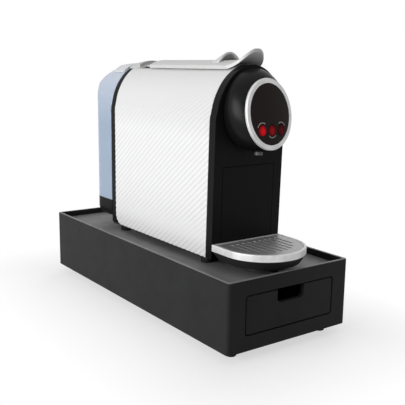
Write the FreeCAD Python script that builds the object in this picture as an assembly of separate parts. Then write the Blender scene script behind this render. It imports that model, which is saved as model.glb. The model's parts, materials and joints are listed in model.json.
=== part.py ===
import FreeCAD, Part
import math
import os

from FreeCAD import Placement, Rotation, Vector

# Pod coffee machine standing in the recessed top of a drawer base.
# Millimetres, +Z up, front towards -Y, origin on the ground under the middle of the base.

# Base cabinet
BASE_WIDTH = 170.0
BASE_LENGTH = 404.0
BASE_HEIGHT = 77.0
BASE_WALL = 4.0
BASE_CORNER = 4.0
RIM_ROUND = 1.0
RECESS_DEPTH = 8.0
RECESS_CORNER = 3.0
DECK_THICKNESS = 4.0
BOTTOM_THICKNESS = 3.0
BASE_FOOT_RADIUS = 6.0
BASE_FOOT_HEIGHT = 10.0
BASE_FOOT_INSET = 20.0
BASE_FOOT_ROUND = 1.5
BOSS_SIDE = 9.0
BOSS_SPACING = 240.0

# Drawer
DRAWER_FRONT_WIDTH = 123.0
DRAWER_FRONT_HEIGHT = 41.5
DRAWER_FRONT_THICKNESS = 6.0
DRAWER_FRONT_RISE = 17.5
DRAWER_FRONT_RECESS = 0.5
DRAWER_CORNER = 3.0
DRAWER_ROUND = 0.8
DRAWER_GAP = 1.2
NOTCH_WIDTH = 38.0
NOTCH_DEPTH = 14.5
NOTCH_CORNER = 5.0
DRAWER_REAR_GAP = 39.5
DRAWER_WALL = 2.0
DRAWER_SIDE_INSET = 5.0
DRAWER_END_INSET = 1.5
DRAWER_LIP = 24.0
RUNNER_WIDTH = 7.0
RUNNER_LIP = 3.0
RUNNER_LIP_HEIGHT = 6.0
RUNNER_FRONT_GAP = 1.0
RUNNER_REAR_GAP = 12.5
RUNNER_CLEARANCE = 0.3
DRAWER_SCREW_SPACING = 70.0
DRAWER_SCREW_RISE = 12.0

# Machine casing
MACHINE_WIDTH = 98.0
SIDE_HEIGHT = 145.5
CROWN_RISE = 67.0
SHELL_WALL = 2.5
PANEL_LENGTH = 206.0
PANEL_CORNER = 14.0
FACE_SETBACK = 89.5
FACE_LEAN = 1.5
FLANGE_DEPTH = 11.0
FLANGE_WALL = 3.0
CHASSIS_THICKNESS = 2.5
CHASSIS_INSET = 3.0
SHELF_WIDTH = 68.0
SHELF_REACH = 72.0
MACHINE_FOOT_RADIUS = 7.0
MACHINE_FOOT_HEIGHT = 6.0
MACHINE_FOOT_INSET = 10.0
TOP_STRIP_WIDTH = 42.0
REAR_FRAME_DEPTH = 12.0
REAR_FRAME_WALL = 3.0
REAR_FRAME_INSET = 1.2

# Brew head and control panel
HEAD_WIDTH = 77.0
HEAD_BASE_INSET = 3.0
HEAD_DROP = 25.0
HEAD_BULGE = 3.0
HEAD_OPENING_WIDTH = 24.0
HEAD_OPENING_MARGIN = 3.0
RING_HEIGHT = 77.0
RING_WIDTH = 63.0
RING_BORDER = 5.4
RING_DEPTH = 7.0
RING_FLANGE = 3.5
RING_LEDGE = 2.0
RING_ROUND = 1.5
RING_RISE = 15.5
RING_REACH = 46.0
RING_TILT = 9.0
HEAD_RING_INSET = 1.0
DISC_THICKNESS = 2.6
DISC_DOME = 2.1
DISC_CLEARANCE = 0.15
BUTTON_RADIUS = 5.9
BUTTON_SPACING = 13.0
BUTTON_DROP = 17.0
BUTTON_PROUD = 1.9
BUTTON_ROUND = 0.8
BUTTON_FLANGE = 0.6
BUTTON_FLANGE_THICKNESS = 1.4
BUTTON_TRAVEL = 1.0
BUTTON_CLEARANCE = 0.3
BOARD_THICKNESS = 1.6
BOARD_OVERLAP = 0.3
SWITCH_SIDE = 6.0
SWITCH_PLUNGER = 1.7
SPOUT_RADIUS = 4.5
SPOUT_BORE = 3.0
SPOUT_LENGTH = 12.0
SPOUT_REACH = 18.0
SPOUT_FLANGE = 2.5
SPOUT_SEAT = 4.5

# Lever and brew group
LEVER_WIDTH = 44.0
LEVER_GAP = 1.5
LEVER_THICKNESS = 3.5
LEVER_REAR_GAP = 44.0
TONGUE_SETBACK = 10.0
TONGUE_LENGTH = 27.0
TONGUE_CURL = 36.0
TONGUE_TAPER = 8.0
HOOD_WIDTH = 32.0
HOOD_LENGTH = 14.0
HOOD_HEIGHT = 8.0
HOOD_WALL = 2.0
HOOD_EDGE = 1.0
HOOD_SETBACK = 20.0
FAIRING_GAP = 15.5
FAIRING_WIDTH = 40.0
FAIRING_RISE = 4.4
FAIRING_REAR_RISE = 1.6
PIVOT_DROP = 12.0
PIVOT_BEHIND_LEVER = 12.0
LEVER_SWING = 75.0
CRANK_REACH = 22.0
CRANK_DROP = 10.0
EYE_RADIUS = 6.0
EYE_MARGIN = 18.0
PIN_RADIUS = 2.5
PIN_CLEARANCE = 0.05
EAR_INNER = 7.5
EAR_THICKNESS = 4.0
EAR_RISE = 4.0
EAR_ROOT = 12.0
WEB_THICKNESS = 3.0
SIDE_CLEARANCE = 0.4
CAGE_STROKE = 32.0
CAGE_SETBACK = 126.0
CAGE_RADIUS = 20.0
CAGE_BORE = 16.0
CAGE_CUP = 30.0
CAGE_FLOOR = 4.0
CAGE_AXIS_DROP = 59.0
CARRIAGE_WIDTH = 20.0
TRUNNION_RISE = 18.0
HOUSING_WALL = 3.0
HOUSING_GAP = 3.0
HOUSING_LENGTH = 132.5
PLATE_THICKNESS = 5.0
CHUTE_WIDTH = 38.0
CHUTE_WALL = 1.5
PIPE_RADIUS = 5.0

# Drip tray and used-pod bin
TRAY_WIDTH = 98.0
TRAY_TOP = 17.5
TRAY_FRONT_GAP = 1.0
TRAY_TAPER = 6.0
TRAY_WALL = 2.0
TRAY_SEAT = 0.4
TRIM_HEIGHT = 7.5
TRIM_WIDTH = 3.0
TRIM_ROUND = 1.0
GRILLE_THICKNESS = 2.5
GRILLE_CLEARANCE = 0.4
GRILLE_SLOT = 3.0
GRILLE_PITCH = 8.0
GRILLE_BORDER = 9.0
GRILLE_DROP = 0.5
GRILLE_LEDGE = 2.0
TONGUE_HEIGHT = 14.0
BIN_WIDTH = 73.0
BIN_HEIGHT = 88.0
BIN_LENGTH = 88.0
BIN_WALL = 2.0
BIN_CLEARANCE = 0.5

# Water tank
TANK_DEPTH = 55.5
TANK_INSET = 0.8
TANK_WALL = 2.5
TANK_CORNER = 24.0
TANK_ROUND = 45.0
TANK_RISE = 29.5
TANK_CLEARANCE = 0.4
CRADLE_RISE = 4.5
CRADLE_WALL = 3.0
CRADLE_FLOOR = 5.0
CRADLE_ROUND = 12.0
VALVE_RADIUS = 9.0
VALVE_LENGTH = 8.0
VALVE_BORE = 6.0
VALVE_CLEARANCE = 0.4
VALVE_BOSS = 13.0
SEAL_HEIGHT = 2.0
SEAL_EDGE = 1.0
HATCH_WIDTH = 48.0
HATCH_LENGTH = 22.0
HATCH_SETBACK = 5.0
LID_OVERLAP = 3.0
LID_GAP = 0.3
LID_THICKNESS = 1.5
KNUCKLE_RADIUS = 3.0
KNUCKLE_WIDTH = 16.0
LID_EAR_THICKNESS = 3.2
LID_PIN_RADIUS = 1.5
GLAND_RADIUS = 5.0
GLAND_BORE = 3.0
GLAND_FLANGE = 1.5
GLAND_OFFSET = 15.0

# Frame, pump, heater and electrics inside
CHEEK_GAP = 52.0
CHEEK_THICKNESS = 3.0
CHEEK_LENGTH = 118.0
CHEEK_REAR_GAP = 6.0
CHEEK_FOOT = 9.0
CHEEK_FOOT_REACH = 4.0
CHEEK_SCREW_INSET = 12.0
WINDOW_LENGTH = 20.0
WINDOW_HEIGHT = 11.0
WINDOW_RISE = 54.0
WINDOW_PITCH = 35.0
WINDOW_CORNER = 3.0
PUMP_RADIUS = 17.0
PUMP_LENGTH = 67.0
PUMP_NIPPLE_RADIUS = 4.0
PUMP_NIPPLE_LENGTH = 10.0
PUMP_RISE = 29.5
PUMP_MOUNT_LENGTH = 8.0
PUMP_MOUNT_SPACING = 46.0
PUMP_MOUNT_COVER = 5.0
PUMP_REAR_GAP = 28.0
HEATER_LENGTH = 65.0
HEATER_HEIGHT = 42.0
HEATER_DROP = 20.0
HEATER_REAR_GAP = 20.0
HEATER_GROOVE = 4.0
HEATER_GROOVES = 6
HOSE_RADIUS = 3.5
HOSE_BORE = 2.0
HOSE_BEND = 6.0
HOSE_RUN = 3.0
HOSE_FLOOR_GAP = 1.0
METER_RADIUS = 9.0
METER_LENGTH = 11.0
BOARD_LENGTH = 70.0
BOARD_HEIGHT = 70.0
POST_LENGTH = 6.0
POST_RADIUS = 2.5
POST_INSET = 6.0
BOARD_DROP = 12.0
CHIP_PITCH = 28.0
CHIP_INSET = 12.0
CHIP_SIDE = 15.0
CHIP_DEPTH = 6.0

# Screws
SCREW_RADIUS = 1.5
SCREW_HEAD_RADIUS = 3.0
SCREW_HEAD_HEIGHT = 1.6
SCREW_LENGTH = 14.0
SCREW_CLEARANCE = 0.1

# Levels and planes that several pieces share
BASE_Z = BASE_FOOT_HEIGHT
RIM_Z = BASE_Z + BASE_HEIGHT
DECK_Z = RIM_Z - RECESS_DEPTH
BASE_FRONT = -BASE_LENGTH / 2
CHASSIS_Z = DECK_Z + MACHINE_FOOT_HEIGHT
PANEL_Z = CHASSIS_Z + CHASSIS_THICKNESS
SPRING_Z = PANEL_Z + SIDE_HEIGHT
CROWN_Z = SPRING_Z + CROWN_RISE
FACE_Y = BASE_FRONT + FACE_SETBACK
REAR_Y = FACE_Y + PANEL_LENGTH
TANK_FRONT = REAR_Y + REAR_FRAME_DEPTH
TANK_REAR = TANK_FRONT + TANK_DEPTH
HALF_WIDTH = MACHINE_WIDTH / 2
FAR = 1000.0
OVERRUN = 60.0


def face_y(z):
    """The leaning plane on which the side panels end at the front."""
    return FACE_Y - (z - PANEL_Z) * math.tan(math.radians(FACE_LEAN))


def cover_y(z):
    """The front face of the front cover."""
    return face_y(z) - FLANGE_DEPTH


def box(x0, x1, y0, y1, z0, z1):
    return Part.makeBox(x1 - x0, y1 - y0, z1 - z0, Vector(x0, y0, z0))


def cylinder(x, y, z, radius, length, axis):
    return Part.makeCylinder(radius, length, Vector(x, y, z), axis)


X_AXIS = Vector(1, 0, 0)
Y_AXIS = Vector(0, 1, 0)
Z_AXIS = Vector(0, 0, 1)


def tube(x, y, z, radius, bore, length, axis):
    start = Vector(x, y, z) - axis
    hole = Part.makeCylinder(bore, length + 2, start, axis)
    return cylinder(x, y, z, radius, length, axis).cut(hole)


def rounded_wire(corners, place):
    """A closed wire through corners (u, v, radius); place puts (u, v) in space."""
    edges = []
    ends = []
    count = len(corners)
    for index in range(count):
        u, v, radius = corners[index]
        here = Vector(u, v, 0)
        before = Vector(*corners[index - 1][:2], 0) - here
        after = Vector(*corners[(index + 1) % count][:2], 0) - here
        if radius <= 0:
            ends.append((here, here, here))
            continue
        half = before.getAngle(after) / 2
        reach = radius / math.tan(half)
        before.normalize()
        after.normalize()
        middle = before + after
        middle.normalize()
        touch = here + middle * (radius / math.sin(half) - radius)
        ends.append((here + before * reach, touch, here + after * reach))
    for index in range(count):
        first, touch, last = ends[index]
        if first != last:
            edges.append(Part.Arc(place(first), place(touch), place(last)).toShape())
        following = ends[(index + 1) % count][0]
        if last.distanceToPoint(following) > 1e-6:
            edges.append(Part.makeLine(place(last), place(following)))
    return Part.Wire(edges)


def side_prism(corners, x0, x1):
    """Corners (y, z, radius) in the side view, extruded from x0 to x1."""
    wire = rounded_wire(corners, lambda p: Vector(x0, p.x, p.y))
    return Part.Face(wire).extrude(Vector(x1 - x0, 0, 0))


def plan_prism(corners, z0, z1):
    """Corners (x, y, radius) in the top view, extruded from z0 to z1."""
    wire = rounded_wire(corners, lambda p: Vector(p.x, p.y, z0))
    return Part.Face(wire).extrude(Vector(0, 0, z1 - z0))


def front_prism(corners, y0, y1):
    """Corners (x, z, radius) in the front view, extruded from y0 to y1."""
    wire = rounded_wire(corners, lambda p: Vector(p.x, y0, p.y))
    return Part.Face(wire).extrude(Vector(0, y1 - y0, 0))


def rectangle(u0, u1, v0, v1, radius):
    return [(u0, v0, radius), (u1, v0, radius), (u1, v1, radius), (u0, v1, radius)]


def arch_z(x, inset):
    """Height of the casing's arch at x, on a surface that lies inset within it."""
    return SPRING_Z + (CROWN_RISE - inset) * math.sqrt(1 - (x / (HALF_WIDTH - inset)) ** 2)


def arch_curve(x0, x1, y, inset, lift, steps):
    points = []
    for index in range(steps + 1):
        x = x0 + (x1 - x0) * index / steps
        points.append(Vector(x, y, arch_z(x, inset) + lift))
    curve = Part.BSplineCurve()
    curve.interpolate(points)
    return curve.toShape()


def arch_slice(y, half, outer, inner, lift):
    """A slice across the machine between two insets of the casing's arch."""
    top = arch_curve(-half, half, y, outer, lift, 8)
    low = arch_curve(-half, half, y, inner, lift, 8)
    ends = [curve.valueAt(t) for curve in (top, low) for t in (curve.FirstParameter, curve.LastParameter)]
    left = Part.makeLine(ends[2], ends[0])
    right = Part.makeLine(ends[1], ends[3])
    return Part.Wire([top, right, low, left])


def arch_solid(y0, y1, inset, bottom):
    """The casing's section, straight sides under a half ellipse, from y0 to y1."""
    half = HALF_WIDTH - inset
    steps = 16
    points = []
    for index in range(steps + 1):
        angle = math.pi * index / steps
        z = SPRING_Z + (CROWN_RISE - inset) * math.sin(angle)
        points.append(Vector(half * math.cos(angle), y0, z))
    crown = Part.BSplineCurve()
    crown.interpolate(Points=points, InitialTangent=Vector(0, 0, 1), FinalTangent=Vector(0, 0, -1))
    low_right = Vector(half, y0, bottom)
    low_left = Vector(-half, y0, bottom)
    edges = [
        Part.makeLine(low_right, points[0]),
        crown.toShape(),
        Part.makeLine(points[-1], low_left),
        Part.makeLine(low_left, low_right),
    ]
    return Part.Face(Part.Wire(edges)).extrude(Vector(0, y1 - y0, 0))


def arch_band(y0, y1, outer, inner):
    """A shell open at the bottom between two insets of the casing's section."""
    solid = arch_solid(y0, y1, outer, PANEL_Z)
    return solid.cut(arch_solid(y0 - 1, y1 + 1, inner, PANEL_Z - 1))


def lean_slab(front, rear):
    """What lies between two planes parallel to the leaning face, by their offsets from it."""
    low = PANEL_Z - OVERRUN
    high = CROWN_Z + OVERRUN
    corners = [
        (face_y(low) + front, low, 0),
        (face_y(low) + rear, low, 0),
        (face_y(high) + rear, high, 0),
        (face_y(high) + front, high, 0),
    ]
    return side_prism(corners, -MACHINE_WIDTH, MACHINE_WIDTH)


def pipe(points, radius, bore, bend):
    """A hose of straight runs joined by tangent arcs."""
    edges = []
    start = points[0]
    for index in range(1, len(points) - 1):
        corner = points[index]
        back = (points[index - 1] - corner).normalize()
        ahead = (points[index + 1] - corner).normalize()
        half = back.getAngle(ahead) / 2
        reach = bend / math.tan(half)
        middle = (back + ahead).normalize()
        touch = corner + middle * (bend / math.sin(half) - bend)
        edges.append(Part.makeLine(start, corner + back * reach))
        edges.append(Part.Arc(corner + back * reach, touch, corner + ahead * reach).toShape())
        start = corner + ahead * reach
    edges.append(Part.makeLine(start, points[-1]))
    path = Part.Wire(edges)
    along = points[1] - points[0]
    outer = path.makePipeShell([Part.Wire(Part.makeCircle(radius, points[0], along))], True, False)
    inner = path.makePipeShell([Part.Wire(Part.makeCircle(bore, points[0], along))], True, False)
    return outer.cut(inner)


def screw(x, y, z, axis):
    """A screw whose head starts at the point and whose shank runs on along the axis."""
    head = cylinder(x, y, z, SCREW_HEAD_RADIUS, SCREW_HEAD_HEIGHT, axis)
    shank = cylinder(x, y, z, SCREW_RADIUS, SCREW_LENGTH, axis)
    return head.fuse(shank).removeSplitter()


def screw_hole(x, y, z, axis):
    head = cylinder(x, y, z, SCREW_HEAD_RADIUS + SCREW_CLEARANCE, SCREW_HEAD_HEIGHT, axis)
    shank = cylinder(x, y, z, SCREW_RADIUS + SCREW_CLEARANCE, SCREW_LENGTH, axis)
    return head.fuse(shank)


PARTS = {}


# Base cabinet and its bottom

HALF_BASE = BASE_WIDTH / 2
INNER_HALF = HALF_BASE - BASE_WALL
INNER_FRONT = BASE_FRONT + BASE_WALL
OPENING_HALF = DRAWER_FRONT_WIDTH / 2 + DRAWER_GAP
FRONT_LOW = BASE_Z + DRAWER_FRONT_RISE
FRONT_HIGH = FRONT_LOW + DRAWER_FRONT_HEIGHT
BOSS_X = INNER_HALF - BOSS_SIDE / 2
BOSS_PLACES = [(sx * BOSS_X, sy * BOSS_SPACING / 2) for sx in (-1, 1) for sy in (-1, 1)]


def base_cabinet():
    outline = rectangle(-HALF_BASE, HALF_BASE, BASE_FRONT, -BASE_FRONT, BASE_CORNER)
    body = plan_prism(outline, BASE_Z, RIM_Z)
    rim = [e for e in body.Edges if e.BoundBox.ZMin > RIM_Z - 0.01]
    body = body.makeFillet(RIM_ROUND, rim)
    pocket = rectangle(-INNER_HALF, INNER_HALF, INNER_FRONT, -INNER_FRONT, RECESS_CORNER)
    body = body.cut(plan_prism(pocket, DECK_Z, RIM_Z + 1))
    ceiling = DECK_Z - DECK_THICKNESS
    body = body.cut(box(-INNER_HALF, INNER_HALF, INNER_FRONT, -INNER_FRONT, BASE_Z - 1, ceiling))
    low = FRONT_LOW - DRAWER_GAP
    high = FRONT_HIGH + DRAWER_GAP
    corner = DRAWER_CORNER + DRAWER_GAP
    opening = rectangle(-OPENING_HALF, OPENING_HALF, low, high, corner)
    body = body.cut(front_prism(opening, BASE_FRONT - 1, INNER_FRONT + 1))
    for x, y in BOSS_PLACES:
        boss = box(x - BOSS_SIDE / 2, x + BOSS_SIDE / 2, y - BOSS_SIDE / 2, y + BOSS_SIDE / 2,
                   BASE_Z + BOTTOM_THICKNESS, ceiling)
        body = body.fuse(boss).cut(screw_hole(x, y, BASE_Z, Z_AXIS))
    return body.removeSplitter()


def base_bottom():
    plate = box(-INNER_HALF, INNER_HALF, INNER_FRONT, -INNER_FRONT, BASE_Z, BASE_Z + BOTTOM_THICKNESS)
    for x, y in BOSS_PLACES:
        plate = plate.cut(screw_hole(x, y, BASE_Z, Z_AXIS))
    return plate


def base_feet():
    feet = []
    for sx in (-1, 1):
        for sy in (-1, 1):
            x = sx * (HALF_BASE - BASE_FOOT_INSET)
            y = sy * (-BASE_FRONT - BASE_FOOT_INSET)
            foot = cylinder(x, y, 0, BASE_FOOT_RADIUS, BASE_FOOT_HEIGHT, Z_AXIS)
            low = [e for e in foot.Edges if e.BoundBox.ZMax < 0.01]
            feet.append(foot.makeFillet(BASE_FOOT_ROUND, low))
    return Part.makeCompound(feet)


PARTS["base_cabinet"] = base_cabinet()
PARTS["base_bottom"] = base_bottom()
PARTS["base_feet"] = base_feet()
PARTS["base_screws"] = Part.makeCompound([screw(x, y, BASE_Z, Z_AXIS) for x, y in BOSS_PLACES])


# Drawer and its runners

DRAWER_FACE = BASE_FRONT + DRAWER_FRONT_RECESS
DRAWER_BACK = DRAWER_FACE + DRAWER_FRONT_THICKNESS
DRAWER_HALF = DRAWER_FRONT_WIDTH / 2 - DRAWER_SIDE_INSET
DRAWER_LOW = FRONT_LOW + DRAWER_END_INSET
DRAWER_HIGH = FRONT_HIGH - DRAWER_END_INSET
SCREW_Y = DRAWER_BACK + DRAWER_WALL + SCREW_HEAD_HEIGHT
DRAWER_SCREWS = [(sx * DRAWER_SCREW_SPACING / 2, DRAWER_LOW + DRAWER_SCREW_RISE) for sx in (-1, 1)]
DRAWER_SCREW_LENGTH = SCREW_HEAD_HEIGHT + DRAWER_WALL + DRAWER_FRONT_THICKNESS / 2


def drawer_screw(x, z, spare):
    head = cylinder(x, SCREW_Y, z, SCREW_HEAD_RADIUS + spare, SCREW_HEAD_HEIGHT, -Y_AXIS)
    shank = cylinder(x, SCREW_Y, z, SCREW_RADIUS + spare, DRAWER_SCREW_LENGTH, -Y_AXIS)
    return head.fuse(shank).removeSplitter()


def drawer_front():
    half = DRAWER_FRONT_WIDTH / 2
    outline = rectangle(-half, half, FRONT_LOW, FRONT_HIGH, DRAWER_CORNER)
    panel = front_prism(outline, DRAWER_FACE, DRAWER_BACK)
    notch = rectangle(-NOTCH_WIDTH / 2, NOTCH_WIDTH / 2, FRONT_HIGH - NOTCH_DEPTH,
                      FRONT_HIGH + NOTCH_DEPTH, NOTCH_CORNER)
    panel = panel.cut(front_prism(notch, DRAWER_FACE - 1, DRAWER_BACK + 1))
    edge = [e for e in panel.Edges if e.BoundBox.YMax < DRAWER_FACE + 0.01]
    panel = panel.makeFillet(DRAWER_ROUND, edge)
    for x, z in DRAWER_SCREWS:
        panel = panel.cut(drawer_screw(x, z, SCREW_CLEARANCE))
    return panel


def drawer_box():
    rear = -INNER_FRONT - DRAWER_REAR_GAP
    tub = box(-DRAWER_HALF, DRAWER_HALF, DRAWER_BACK, rear, DRAWER_LOW, DRAWER_HIGH)
    inner = DRAWER_HALF - DRAWER_WALL
    tub = tub.cut(box(-inner, inner, DRAWER_BACK + DRAWER_WALL, rear - DRAWER_WALL,
                      DRAWER_LOW + DRAWER_WALL, DRAWER_HIGH + 1))
    tub = tub.cut(box(-inner, inner, DRAWER_BACK - 1, DRAWER_BACK + DRAWER_WALL + 1,
                      DRAWER_LOW + DRAWER_LIP, DRAWER_HIGH + 1))
    for x, z in DRAWER_SCREWS:
        tub = tub.cut(drawer_screw(x, z, SCREW_CLEARANCE))
    return tub


def drawer_runners():
    outer = DRAWER_HALF + RUNNER_CLEARANCE + RUNNER_LIP
    low = BASE_Z + BOTTOM_THICKNESS
    front = DRAWER_BACK + RUNNER_FRONT_GAP
    corners = [
        (DRAWER_HALF + RUNNER_CLEARANCE - RUNNER_WIDTH, low, 0),
        (outer, low, 0),
        (outer, DRAWER_LOW + RUNNER_LIP_HEIGHT, 0),
        (DRAWER_HALF + RUNNER_CLEARANCE, DRAWER_LOW + RUNNER_LIP_HEIGHT, 0),
        (DRAWER_HALF + RUNNER_CLEARANCE, DRAWER_LOW - RUNNER_CLEARANCE, 0),
        (DRAWER_HALF + RUNNER_CLEARANCE - RUNNER_WIDTH, DRAWER_LOW - RUNNER_CLEARANCE, 0),
    ]
    right = front_prism(corners, front, -INNER_FRONT - RUNNER_REAR_GAP)
    left = right.mirror(Vector(0, 0, 0), X_AXIS)
    return Part.makeCompound([left, right])


PARTS["drawer_front"] = drawer_front()
PARTS["drawer_box"] = drawer_box()
PARTS["drawer_screws"] = Part.makeCompound([drawer_screw(x, z, 0) for x, z in DRAWER_SCREWS])
PARTS["drawer_runners"] = drawer_runners()


# Chassis plate, feet and the two frame cheeks that carry the inside

CHASSIS_HALF = HALF_WIDTH - CHASSIS_INSET
CHEEK_REAR = REAR_Y - CHEEK_REAR_GAP
CHEEK_FRONT = CHEEK_REAR - CHEEK_LENGTH
CHEEK_X = CHEEK_GAP / 2
CAGE_Z = CROWN_Z - CAGE_AXIS_DROP
HOUSING_TOP = CAGE_Z + CAGE_RADIUS + HOUSING_GAP + HOUSING_WALL
SHELF_FRONT = FACE_Y - SHELF_REACH
FOOT_FRONT = FACE_Y + MACHINE_FOOT_INSET
FOOT_REAR = REAR_Y - MACHINE_FOOT_INSET
FOOT_X = HALF_WIDTH - MACHINE_FOOT_INSET
CHASSIS_SCREWS = [(sx * (CHEEK_X + CHEEK_THICKNESS / 2), y) for sx in (-1, 1)
                  for y in (CHEEK_FRONT + CHEEK_SCREW_INSET, CHEEK_REAR - CHEEK_SCREW_INSET)]


def chassis():
    plate = box(-CHASSIS_HALF, CHASSIS_HALF, FACE_Y, TANK_FRONT, CHASSIS_Z, PANEL_Z)
    half = SHELF_WIDTH / 2
    corners = [(-half, FACE_Y + 1, 0), (-half, SHELF_FRONT, half / 2), (half, SHELF_FRONT, half / 2),
               (half, FACE_Y + 1, 0)]
    plate = plate.fuse(plan_prism(corners, CHASSIS_Z, PANEL_Z)).removeSplitter()
    for x, y in CHASSIS_SCREWS:
        plate = plate.cut(screw_hole(x, y, CHASSIS_Z, Z_AXIS))
    return plate


def machine_feet():
    places = [(sx * FOOT_X, y) for sx in (-1, 1) for y in (FOOT_FRONT, FOOT_REAR)]
    places.append((0, SHELF_FRONT + 2 * MACHINE_FOOT_RADIUS))
    feet = [cylinder(x, y, DECK_Z, MACHINE_FOOT_RADIUS, MACHINE_FOOT_HEIGHT, Z_AXIS) for x, y in places]
    return Part.makeCompound(feet)


def frame_cheek(side):
    inner = CHEEK_X
    outer = CHEEK_X + CHEEK_THICKNESS
    plate = box(inner, outer, CHEEK_FRONT, CHEEK_REAR, PANEL_Z, HOUSING_TOP)
    low = PANEL_Z + WINDOW_RISE
    for index in (-1, 0, 1):
        y = (CHEEK_FRONT + CHEEK_REAR - WINDOW_LENGTH) / 2 + index * WINDOW_PITCH
        window = rectangle(y, y + WINDOW_LENGTH, low, low + WINDOW_HEIGHT, WINDOW_CORNER)
        plate = plate.cut(side_prism(window, inner - 1, outer + 1))
    for x, y in CHASSIS_SCREWS:
        if x > 0:
            foot = box(inner, outer + CHEEK_FOOT_REACH, y - CHEEK_FOOT / 2, y + CHEEK_FOOT / 2,
                       PANEL_Z, PANEL_Z + SCREW_LENGTH)
            plate = plate.fuse(foot).cut(screw_hole(x, y, CHASSIS_Z, Z_AXIS))
    plate = plate.removeSplitter()
    return plate if side > 0 else plate.mirror(Vector(0, 0, 0), X_AXIS)


PARTS["chassis"] = chassis()
PARTS["machine_feet"] = machine_feet()
PARTS["chassis_screws"] = Part.makeCompound([screw(x, y, CHASSIS_Z, Z_AXIS) for x, y in CHASSIS_SCREWS])
PARTS["frame_cheek_left"] = frame_cheek(-1)
PARTS["frame_cheek_right"] = frame_cheek(1)


# Side panels, top cover, front cover and rear frame

STRIP_HALF = TOP_STRIP_WIDTH / 2
LEVER_REAR = REAR_Y - LEVER_REAR_GAP
PIVOT = Vector(0, LEVER_REAR + PIVOT_BEHIND_LEVER, CROWN_Z - PIVOT_DROP)
CRANK = PIVOT + Vector(0, -CRANK_REACH, -CRANK_DROP)
WEB_INNER = EAR_INNER + EAR_THICKNESS + SIDE_CLEARANCE
WEB_OUTER = WEB_INNER + WEB_THICKNESS
LINK_INNER = WEB_OUTER + SIDE_CLEARANCE
LINK_OUTER = LINK_INNER + WEB_THICKNESS
SLOT_SPARE = 2.0 * SIDE_CLEARANCE
CAGE_FRONT = PIVOT.y - CAGE_SETBACK
CHUTE_FRONT = CAGE_FRONT - SIDE_CLEARANCE
CHUTE_REAR = CAGE_FRONT + CAGE_STROKE
CHUTE_HALF = CHUTE_WIDTH / 2
BIN_HALF = BIN_WIDTH / 2
BIN_LOW = PANEL_Z + TONGUE_HEIGHT
BIN_HIGH = BIN_LOW + BIN_HEIGHT
HEAD_LOW = SPRING_Z - HEAD_DROP
PIPE_Z = CAGE_Z - CAGE_RADIUS / 2 - PIPE_RADIUS


def casing_outline():
    low = PANEL_Z
    high = CROWN_Z + OVERRUN
    corners = [(face_y(low), low, 0), (REAR_Y, low, PANEL_CORNER), (REAR_Y, high, 0),
               (face_y(high), high, 0)]
    return side_prism(corners, -MACHINE_WIDTH, MACHINE_WIDTH)


def side_panel(side):
    shell = arch_band(FACE_Y - OVERRUN, REAR_Y, 0, SHELL_WALL).common(casing_outline())
    shell = shell.cut(box(-STRIP_HALF, STRIP_HALF, -FAR, FAR, SPRING_Z, FAR))
    near = 0 if side > 0 else -HALF_WIDTH - 1
    return shell.common(box(near, near + HALF_WIDTH + 1, -FAR, FAR, 0, FAR))


def fairing():
    """The raised end of the top cover, which falls from behind the lever to the tank."""
    front = PIVOT.y + FAIRING_GAP
    rear = TANK_FRONT - 2 * LEVER_GAP
    inner = SHELL_WALL / 2
    slices = []
    for part in (0.0, 0.5, 1.0):
        rise = FAIRING_RISE - (FAIRING_RISE - FAIRING_REAR_RISE) * part ** 2
        slices.append(arch_slice(front + (rear - front) * part, FAIRING_WIDTH / 2, -rise, inner, 0))
    solid = Part.makeLoft(slices, True, False)
    under = REAR_FRAME_INSET - SIDE_CLEARANCE
    return solid.cut(arch_solid(REAR_Y, TANK_FRONT, under, PANEL_Z))


def top_cover():
    shell = arch_band(FACE_Y - OVERRUN, REAR_Y, 0, SHELL_WALL).common(casing_outline())
    strip = shell.common(box(-STRIP_HALF, STRIP_HALF, -FAR, FAR, SPRING_Z, FAR))
    strip = strip.cut(box(-CHUTE_HALF, CHUTE_HALF, CHUTE_FRONT, CHUTE_REAR, SPRING_Z, FAR))
    for sx in (-1, 1):
        near = sx * (WEB_INNER - SLOT_SPARE)
        far = sx * (LINK_OUTER + SLOT_SPARE)
        slot = box(min(near, far), max(near, far), CRANK.y - EYE_RADIUS - EYE_MARGIN,
                   PIVOT.y + PIVOT_DROP, SPRING_Z, FAR)
        strip = strip.cut(slot)
    return strip.fuse(fairing()).removeSplitter()


def front_cover():
    solid = arch_solid(FACE_Y - OVERRUN, FACE_Y + OVERRUN, 0, PANEL_Z).common(lean_slab(-FLANGE_DEPTH, 0))
    hollow = arch_solid(FACE_Y - OVERRUN, FACE_Y + OVERRUN, FLANGE_WALL, PANEL_Z + FLANGE_WALL)
    cover = solid.cut(hollow.common(lean_slab(-FLANGE_DEPTH + FLANGE_WALL, 1)))
    half = BIN_HALF + BIN_CLEARANCE
    doorway = box(-half, half, -FAR, FACE_Y + 1, PANEL_Z - 1, BIN_HIGH + BIN_CLEARANCE)
    half = HEAD_OPENING_WIDTH / 2
    low = PIPE_Z - PIPE_RADIUS - HEAD_OPENING_MARGIN
    pipe_way = box(-half, half, -FAR, FACE_Y + 1, low, SPRING_Z + half)
    return cover.cut(doorway).cut(pipe_way)


def rear_frame():
    plate = arch_solid(REAR_Y, TANK_FRONT, REAR_FRAME_INSET, PANEL_Z)
    inset = REAR_FRAME_INSET + REAR_FRAME_WALL
    hollow = arch_solid(REAR_Y - 1, TANK_FRONT - REAR_FRAME_WALL, inset, PANEL_Z + REAR_FRAME_WALL)
    plate = plate.cut(hollow)
    way = cylinder(0, REAR_Y - 1, HOSE_Z, HOSE_RADIUS + SIDE_CLEARANCE, REAR_FRAME_DEPTH + 2, Y_AXIS)
    return plate.cut(way)


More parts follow.
